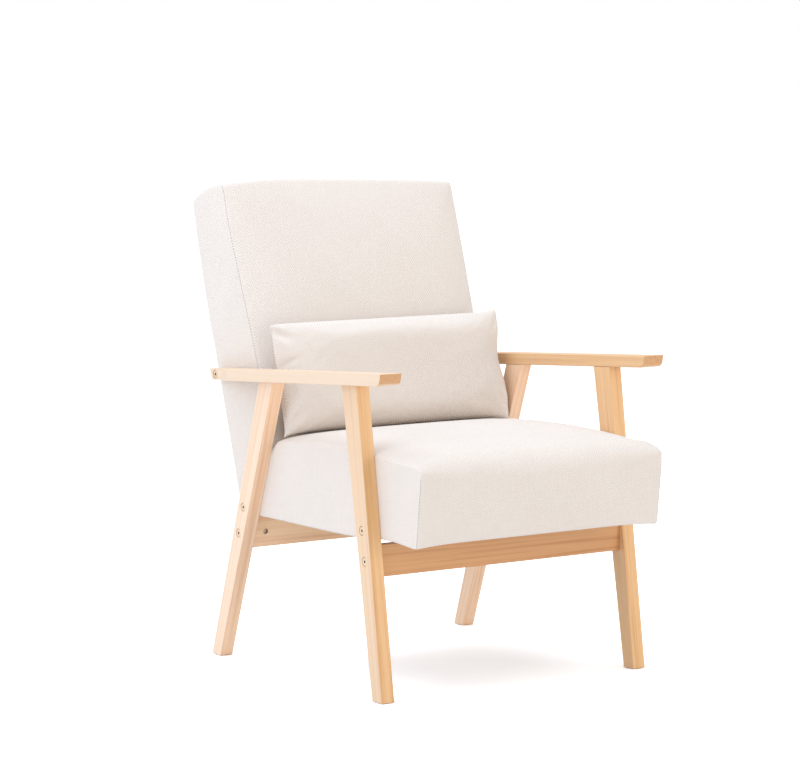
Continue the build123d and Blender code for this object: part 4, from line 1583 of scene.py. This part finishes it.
@dataclass(kw_only=True)
class StretchedPanel(ABC):
    """A flat piece of cloth, stapled or sewn along its edge."""

    name: str
    node: str
    finish: Finish
    slot: str
    rests_on: str
    row: Row
    steps: tuple[int, int] = (36, 40)
    thickness: float = 0.7 * MM
    row_inset: float = 7.0 * MM
    row_lift: float = 0.5 * MM
    row_points: int = 40

    @abstractmethod
    def size(self) -> Pair:
        """Width and length of the cut cloth."""

    @abstractmethod
    def point(self, x: float, along: float, lift: float) -> Triple:
        """A point of the stretched cloth.

        Args:
            x: Place across.
            along: Distance from its front or lower edge.
            lift: Distance outside its middle surface.

        Returns:
            The place.
        """

    def build(self) -> None:
        """Cut, stretch and fix the cloth."""
        width, length = self.size()
        across, up = self.steps
        flat = [
            (width * (i / across - 0.5), length * k / up) for i in range(across + 1) for k in range(up + 1)
        ]
        corners = [i * (up + 1) + k for i in range(across) for k in range(up)]
        faces = [[first, first + up + 1, first + up + 2, first + 1] for first in corners]
        mesh = bpy.data.meshes.new(self.name)
        mesh.from_pydata([self.point(x, along, 0.0) for x, along in flat], [], faces)
        finish_weave(mesh, [flat[corner] for face in faces for corner in face])
        piece = mesh_piece(self.name, mesh, self.finish)
        thicken(piece, self.thickness)
        near, far = self.row_inset, length - self.row_inset
        side = width / 2 - self.row_inset
        turns = [(-side, near), (side, near), (side, far), (-side, far), (-side, near)]
        border = np.concatenate([np.linspace(a, b, self.row_points)[:-1] for a, b in zip(turns, turns[1:])])
        path = np.array([self.point(x, along, self.row_lift) for x, along in border])
        fixing = self.row.lay(f"{self.name}_fixing", [path])
        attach(piece, CHAIR)
        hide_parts(self.node)


@dataclass(kw_only=True)
class DustCover(StretchedPanel):
    """Black cloth under the seat, which follows the seat's lower side."""

    name: str = "seat_dust_cloth"
    node: str = "seat_dust_cover"
    finish: Finish = DUST_CLOTH
    slot: str = "dust_cloth"
    row: Row = STAPLES
    seat: BVHTree
    gap: float = 0.4 * MM

    def size(self) -> Pair:
        """Width and length of the cut cloth."""
        low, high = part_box(self.node)
        return high.x - low.x, high.y - low.y

    def point(self, x: float, along: float, lift: float) -> Triple:
        """A point of the stretched cloth, just under the seat.

        Args:
            x: Place across.
            along: Distance from its front edge.
            lift: Distance below its middle surface.

        Returns:
            The place.
        """
        low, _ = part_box(self.node)
        hit, _, _, _ = self.seat.ray_cast(Vector((x, low.y + along, 0.0)), Vector((0, 0, 1)))
        return x, low.y + along, hit.z - self.gap - self.thickness / 2 - lift


@dataclass(kw_only=True)
class RearPanel(StretchedPanel):
    """Linen panel that closes the back's rear, slightly domed by the padding."""

    name: str = "back_rear_cloth"
    node: str = "back_rear_panel"
    finish: Finish = LINEN
    slot: str = "linen_weave"
    row: Row = HEM_STITCHES
    slanted: ReclinedFrame
    first_rise: float = 6.0 * MM
    length: float = 550.0 * MM
    depth: float = 0.75 * MM
    dome: float = 1.8 * MM

    def size(self) -> Pair:
        """Width and length of the cut cloth."""
        low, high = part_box(self.node)
        return high.x - low.x, self.length

    def point(self, x: float, along: float, lift: float) -> Triple:
        """A point of the stretched cloth, on the back's rear.

        Args:
            x: Place across.
            along: Distance from its lower edge.
            lift: Distance behind its middle surface.

        Returns:
            The place.
        """
        across, up = 2 * x / self.size()[0], 2 * along / self.length - 1
        rise = self.first_rise + along
        depth = self.depth - self.slanted.bow(rise) - self.dome * (1 - across**4) * (1 - up**4) - lift
        return x, *self.slanted.place(rise, depth)


@dataclass
class ConnectorBolts:
    """Flat-head bolts with hexagon sockets: two on each leg and one on each arm."""

    cad_radius: float = 7.5 * MM
    head_radius: float = 7.4 * MM
    head_height: float = 2.4 * MM
    chamfer: float = 0.5 * MM
    key_size: float = 4.0 * MM
    socket_depth: float = 1.6 * MM
    shank_radius: float = 3.0 * MM
    sides: int = 48
    shanks: tuple[tuple[str, float], ...] = (
        ("rail_bolts", 55.2 * MM), ("seat_frame_bolts", 40.8 * MM),
        ("back_foot_bolts", 40.8 * MM), ("armrest_bolts", 40.8 * MM),
    )

    def head_mesh(self) -> Mesh:
        """Turn one head, with its socket's faces marked.

        Returns:
            The mesh, seated at the origin and facing +Z.
        """
        hexagon = self.key_size / 2
        top = self.head_height
        rings = (
            (self.head_radius - self.chamfer, 0.0, False), (self.head_radius, self.chamfer, False),
            (self.head_radius, top - self.chamfer, False), (self.head_radius - self.chamfer, top, False),
            (hexagon, top, True), (hexagon, top - self.socket_depth, True),
        )
        places = []
        for radius, height, keyed in rings:
            for step in range(self.sides):
                angle = math.tau * step / self.sides
                reach = radius / math.cos(angle % (math.tau / 6) - math.tau / 12) if keyed else radius
                places.append((reach * math.cos(angle), reach * math.sin(angle), height))
        faces = [list(range(self.sides))[::-1]]
        for ring in range(len(rings) - 1):
            for step in range(self.sides):
                a, b = ring * self.sides + step, ring * self.sides + (step + 1) % self.sides
                faces.append([a, b, b + self.sides, a + self.sides])
        faces.append(list(range(len(places) - self.sides, len(places))))
        mesh = bpy.data.meshes.new("bolt_head")
        mesh.from_pydata(places, [], faces)
        outside = 1 + (len(rings) - 2) * self.sides
        marks = mesh.attributes.new("socket", "BOOLEAN", "FACE")
        marks.data.foreach_set("value", [number >= outside for number in range(len(faces))])
        return mesh

    def places(self) -> list[tuple[float, float, float, float]]:
        """Seat of each bolt: x of the head's seat on the right, y, z and length of the shank.

        Returns:
            One row for each mirrored pair.
        """
        rows = []
        for node, shank in self.shanks:
            low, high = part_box(node)
            seat = high.x - self.head_height
            if node == "rail_bolts":
                rows.append((seat, low.y + self.cad_radius, high.z - self.cad_radius, shank))
                rows.append((seat, high.y - self.cad_radius, low.z + self.cad_radius, shank))
            else:
                centre = (low + high) / 2
                rows.append((seat, centre.y, centre.z, shank))
        return rows

    def build(self) -> None:
        """Set all bolts and drop the pattern head."""
        points, ways, heads = [], [], []
        for seat, y, z, shank in self.places():
            for side in (-1, 1):
                points += [(side * seat, y, z), (side * (seat - shank), y, z)]
                ways += [side, 0.0, 0.0] * 2
                heads += [True, False]
        mesh = bpy.data.meshes.new("connector_bolts")
        mesh.from_pydata(points, [(k, k + 1) for k in range(0, len(points), 2)], [])
        mesh.attributes.new("way", "FLOAT_VECTOR", "POINT").data.foreach_set("vector", ways)
        mesh.attributes.new("head", "BOOLEAN", "POINT").data.foreach_set("value", heads)
        pattern = mesh_piece("bolt_head", self.head_mesh(), BOLT_STEEL)
        piece = mesh_piece("connector_bolts", mesh, BOLT_STEEL)
        grow(piece, bolt_tree(), {
            "Head": pattern, "Shank radius": self.shank_radius,
            "Finish": BOLT_STEEL.build(), "Socket finish": SOCKET_PAINTED_SHADE.build(),
        })
        bpy.data.objects.remove(pattern)
        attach(piece, CHAIR)
        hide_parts(*(node for node, _ in self.shanks))


@dataclass
class WoodFrame:
    """Legs, armrests and rails: CAD boards with the grain along each, no two quite of one tone, partly from
    painted light and shade.
    """

    # The last two numbers of each entry are the left boards' shares of painted light on their sides and
    # faces; the right boards take smaller ones, so the left side, nearer the left lamp, comes out paler.
    pairs: tuple[tuple[str, Grain, tuple[str, str, str], float, float], ...] = (
        ("leg_front", Grain.FRONT_LEG, ("#EBBE8A", "#E4B47C", "#CC9052"), 0.48, 0.0),
        ("leg_rear", Grain.REAR_LEG, ("#FBD9BB", "#F6CFAC", "#DFAE84"), 0.42, 0.0),
        ("armrest", Grain.ARM, ("#E7BB88", "#E0AF78", "#C8925A"), 0.75, 0.6),
    )
    # Painted shade and light: the front rail's darker tones stand for the shade under the seat, the rear
    # rail's paler ones for light in its shaded place.
    rail_tones_painted_shade_and_light: tuple[tuple[str, tuple[str, str, str]], ...] = (
        ("front_rail", ("#D6A36C", "#D19863", "#B57740")),
        ("rear_rail", ("#FFDEB8", "#FDD4AA", "#E6B284")),
    )
    right_light_shares: Pair = (0.15, 0.0)
    # Painted shade: a dark tone on the rails' faces turned along their length, on their ends and bolt-hole
    # walls, stands for the shade inside the holes
    hole_painted_shade: str = "#4E3524"
    hole_shade_share: float = 0.9

    def dress(self) -> None:
        """Give each board its finish."""
        for board, grain, tones, *left_light_shares in self.pairs:
            for side, (edge, face) in (("left", left_light_shares), ("right", self.right_light_shares)):
                name = f"{board}_{side}"
                dress_nodes((name,), LacqueredBeech(
                    f"beech_planed_lacquered_{name}", grain, *tones, painted_light_side_share=edge, painted_light_face_share=face
                ))
        for name, tones in self.rail_tones_painted_shade_and_light:
            dress_nodes((name,), LacqueredBeech(
                f"beech_planed_lacquered_{name}", Grain.RAIL, *tones,
                end_grain=self.hole_painted_shade, end_share=self.hole_shade_share,
            ))


@dataclass
class HiddenWorks:
    """Frame boards, springs, straps and fittings inside the upholstery: CAD nodes with their own finishes."""

    groups: tuple[tuple[Finish, tuple[str, ...]], ...] = (
        (SAWN_PINE, ("seat_side_board_left", "seat_side_board_right", "seat_front_board", "seat_rear_board",
                     "seat_corner_blocks", "back_stile_left", "back_stile_right", "back_top_rail",
                     "back_lumbar_rail", "back_bottom_rail")),
        (DOWEL_BEECH, ("rail_dowels", "arm_dowels")),
        (SPRING_STEEL, tuple(f"seat_spring_{number}" for number in range(1, 6)) + ("seat_spring_clips",)),
        (NEEDLED_FELT, ("seat_spring_pad",)),
        (ELASTIC_WEBBING, tuple(f"back_strap_{number}" for number in range(1, 5))),
        (BOLT_STEEL, ("rail_barrel_nuts", "seat_frame_inserts", "back_foot_inserts", "armrest_inserts",
                      "seat_to_back_bolts", "seat_to_back_tee_nuts")),
        (GLIDE_NYLON, ("foot_glide_front_left", "foot_glide_front_right", "foot_glide_rear_left",
                       "foot_glide_rear_right")),
    )

    def dress(self) -> None:
        """Give each group its finish."""
        for finish, nodes in self.groups:
            dress_nodes(nodes, finish)


@dataclass
class Studio:
    """White floor and surroundings, three soft lamps and the camera."""

    target: Vector = field(default_factory=lambda: Vector((2.2, 72.35, 470.3)) * MM)
    azimuth: float = math.radians(-34.41)
    elevation: float = math.radians(6.13)
    distance: float = 5585.8 * MM
    focal_length: float = 142.99
    sensor_width: float = 36.0
    sight: float = 100.0
    surround: float = 0.78
    floor_half: float = 20.0
    floor_bounce: float = 0.9
    floor_seen: float = 1.55
    lamps: tuple[tuple[str, Triple, float, float, str], ...] = (
        ("overhead_softbox", (-0.4, 0.5, 3.4), 3.4, 86.0, "#D8E9FF"),
        ("left_softbox", (-3.3, -0.4, 1.6), 2.4, 38.5, "#E2EDFF"),
        ("front_softbox", (2.0, -3.4, 0.6), 2.4, 39.5, "#FFF4E6"),
    )

    def build(self) -> None:
        """Set up floor, surroundings, lamps and camera."""
        scene = bpy.context.scene
        scene.view_settings.view_transform = "Standard"
        self.build_floor()
        self.build_world(scene)
        for name, place, size, power, colour in self.lamps:
            lamp = bpy.data.lights.new(name, "AREA")
            lamp.color = linear(colour)[:3]
            lamp.shape = "SQUARE"
            lamp.size = size
            lamp.energy = power
            holder = bpy.data.objects.new(name, lamp)
            holder.location = place
            holder.rotation_euler = (self.target - Vector(place)).to_track_quat("-Z", "Y").to_euler()
            scene.collection.objects.link(holder)
        self.build_camera(scene)

    def build_floor(self) -> None:
        """A wide matt floor that the camera sees as white, with the chair's shadow on it."""
        half = self.floor_half
        mesh = bpy.data.meshes.new("studio_floor")
        mesh.from_pydata(
            [(-half, -half, 0), (half, -half, 0), (half, half, 0), (-half, half, 0)], [], [(0, 1, 2, 3)]
        )
        material = bpy.data.materials.new("paper_sweep_matt")
        tree = cleared_tree(material)
        seen = add_node(tree, "ShaderNodeLightPath").outputs["Is Camera Ray"]
        tone = add_node(tree, "ShaderNodeMapRange", {
            "Value": seen, "To Min": self.floor_bounce, "To Max": self.floor_seen,
        })
        paper = add_node(tree, "ShaderNodeBsdfDiffuse", {"Color": tone.outputs[0]})
        add_node(tree, "ShaderNodeOutputMaterial", {"Surface": paper.outputs[0]})
        mesh.materials.append(material)
        floor = bpy.data.objects.new("studio_floor", mesh)
        bpy.context.scene.collection.objects.link(floor)

    def build_world(self, scene: bpy.types.Scene) -> None:
        """Even white light from all round, seen as white by the camera and in gloss.

        Args:
            scene: The scene that takes the world.
        """
        world = bpy.data.worlds.new("white_surround")
        tree = cleared_tree(world)
        path = add_node(tree, "ShaderNodeLightPath")
        seen = path.outputs["Is Camera Ray"]
        for ray in ("Is Transmission Ray", "Is Glossy Ray"):
            seen = add_node(
                tree, "ShaderNodeMath", {0: seen, 1: path.outputs[ray]}, operation="MAXIMUM"
            ).outputs[0]
        level = add_node(tree, "ShaderNodeMapRange", {"Value": seen, "To Min": self.surround, "To Max": 1.0})
        sky = add_node(
            tree, "ShaderNodeBackground", {"Color": (1.0, 1.0, 1.0, 1.0), "Strength": level.outputs[0]}
        )
        add_node(tree, "ShaderNodeOutputWorld", {"Surface": sky.outputs[0]})
        scene.world = world

    def build_camera(self, scene: bpy.types.Scene) -> None:
        """Place the camera where the photograph was taken from.

        Args:
            scene: The scene that takes the camera.
        """
        back = Vector((
            math.sin(self.azimuth) * math.cos(self.elevation),
            -math.cos(self.azimuth) * math.cos(self.elevation),
            math.sin(self.elevation),
        ))
        camera = bpy.data.cameras.new("photograph_camera")
        camera.sensor_fit = "HORIZONTAL"
        camera.sensor_width = self.sensor_width
        camera.lens = self.focal_length
        camera.clip_end = self.sight
        holder = bpy.data.objects.new("photograph_camera", camera)
        holder.location = self.target + back * self.distance
        holder.rotation_euler = back.to_track_quat("Z", "Y").to_euler()
        scene.collection.objects.link(holder)
        scene.camera = holder


def main() -> None:
    """Build the studio and dress the chair piece by piece."""
    logging.basicConfig(level=logging.INFO, format="%(name)s: %(message)s")
    Studio().build()
    WoodFrame().dress()
    HiddenWorks().dress()
    ConnectorBolts().build()
    LOG.info("frame dressed and bolted")
    seat_low, seat_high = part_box("seat_cover")
    slanted = ReclinedFrame(seat_low.y + BACK_FOOT_SETBACK, seat_low.z)
    seat_cushion = SeatCushion(half_width=seat_high.x, slanted=slanted, nose_y=seat_low.y)
    seat = seat_cushion.build()
    LOG.info("seat built")
    back_cushion = BackCushion(
        half_width=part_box("back_cover")[1].x, slanted=slanted, chart_turn=slanted.recline
    )
    back = back_cushion.build()
    LOG.info("back built")
    LumbarPillow(slanted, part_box("pillow_cover")[0].z).build(seat, back)
    LOG.info("pillow built")
    underside = BVHTree.FromObject(seat, bpy.context.evaluated_depsgraph_get())
    DustCover(rests_on=seat.name, seat=underside).build()
    RearPanel(rests_on=back.name, slanted=slanted).build()
    SEAM_STITCHES.lay("seam_stitches", seat_cushion.sewn + back_cushion.sewn)
    LOG.info("cloths stretched and seams stitched")


if __name__ == "__main__":
    main()
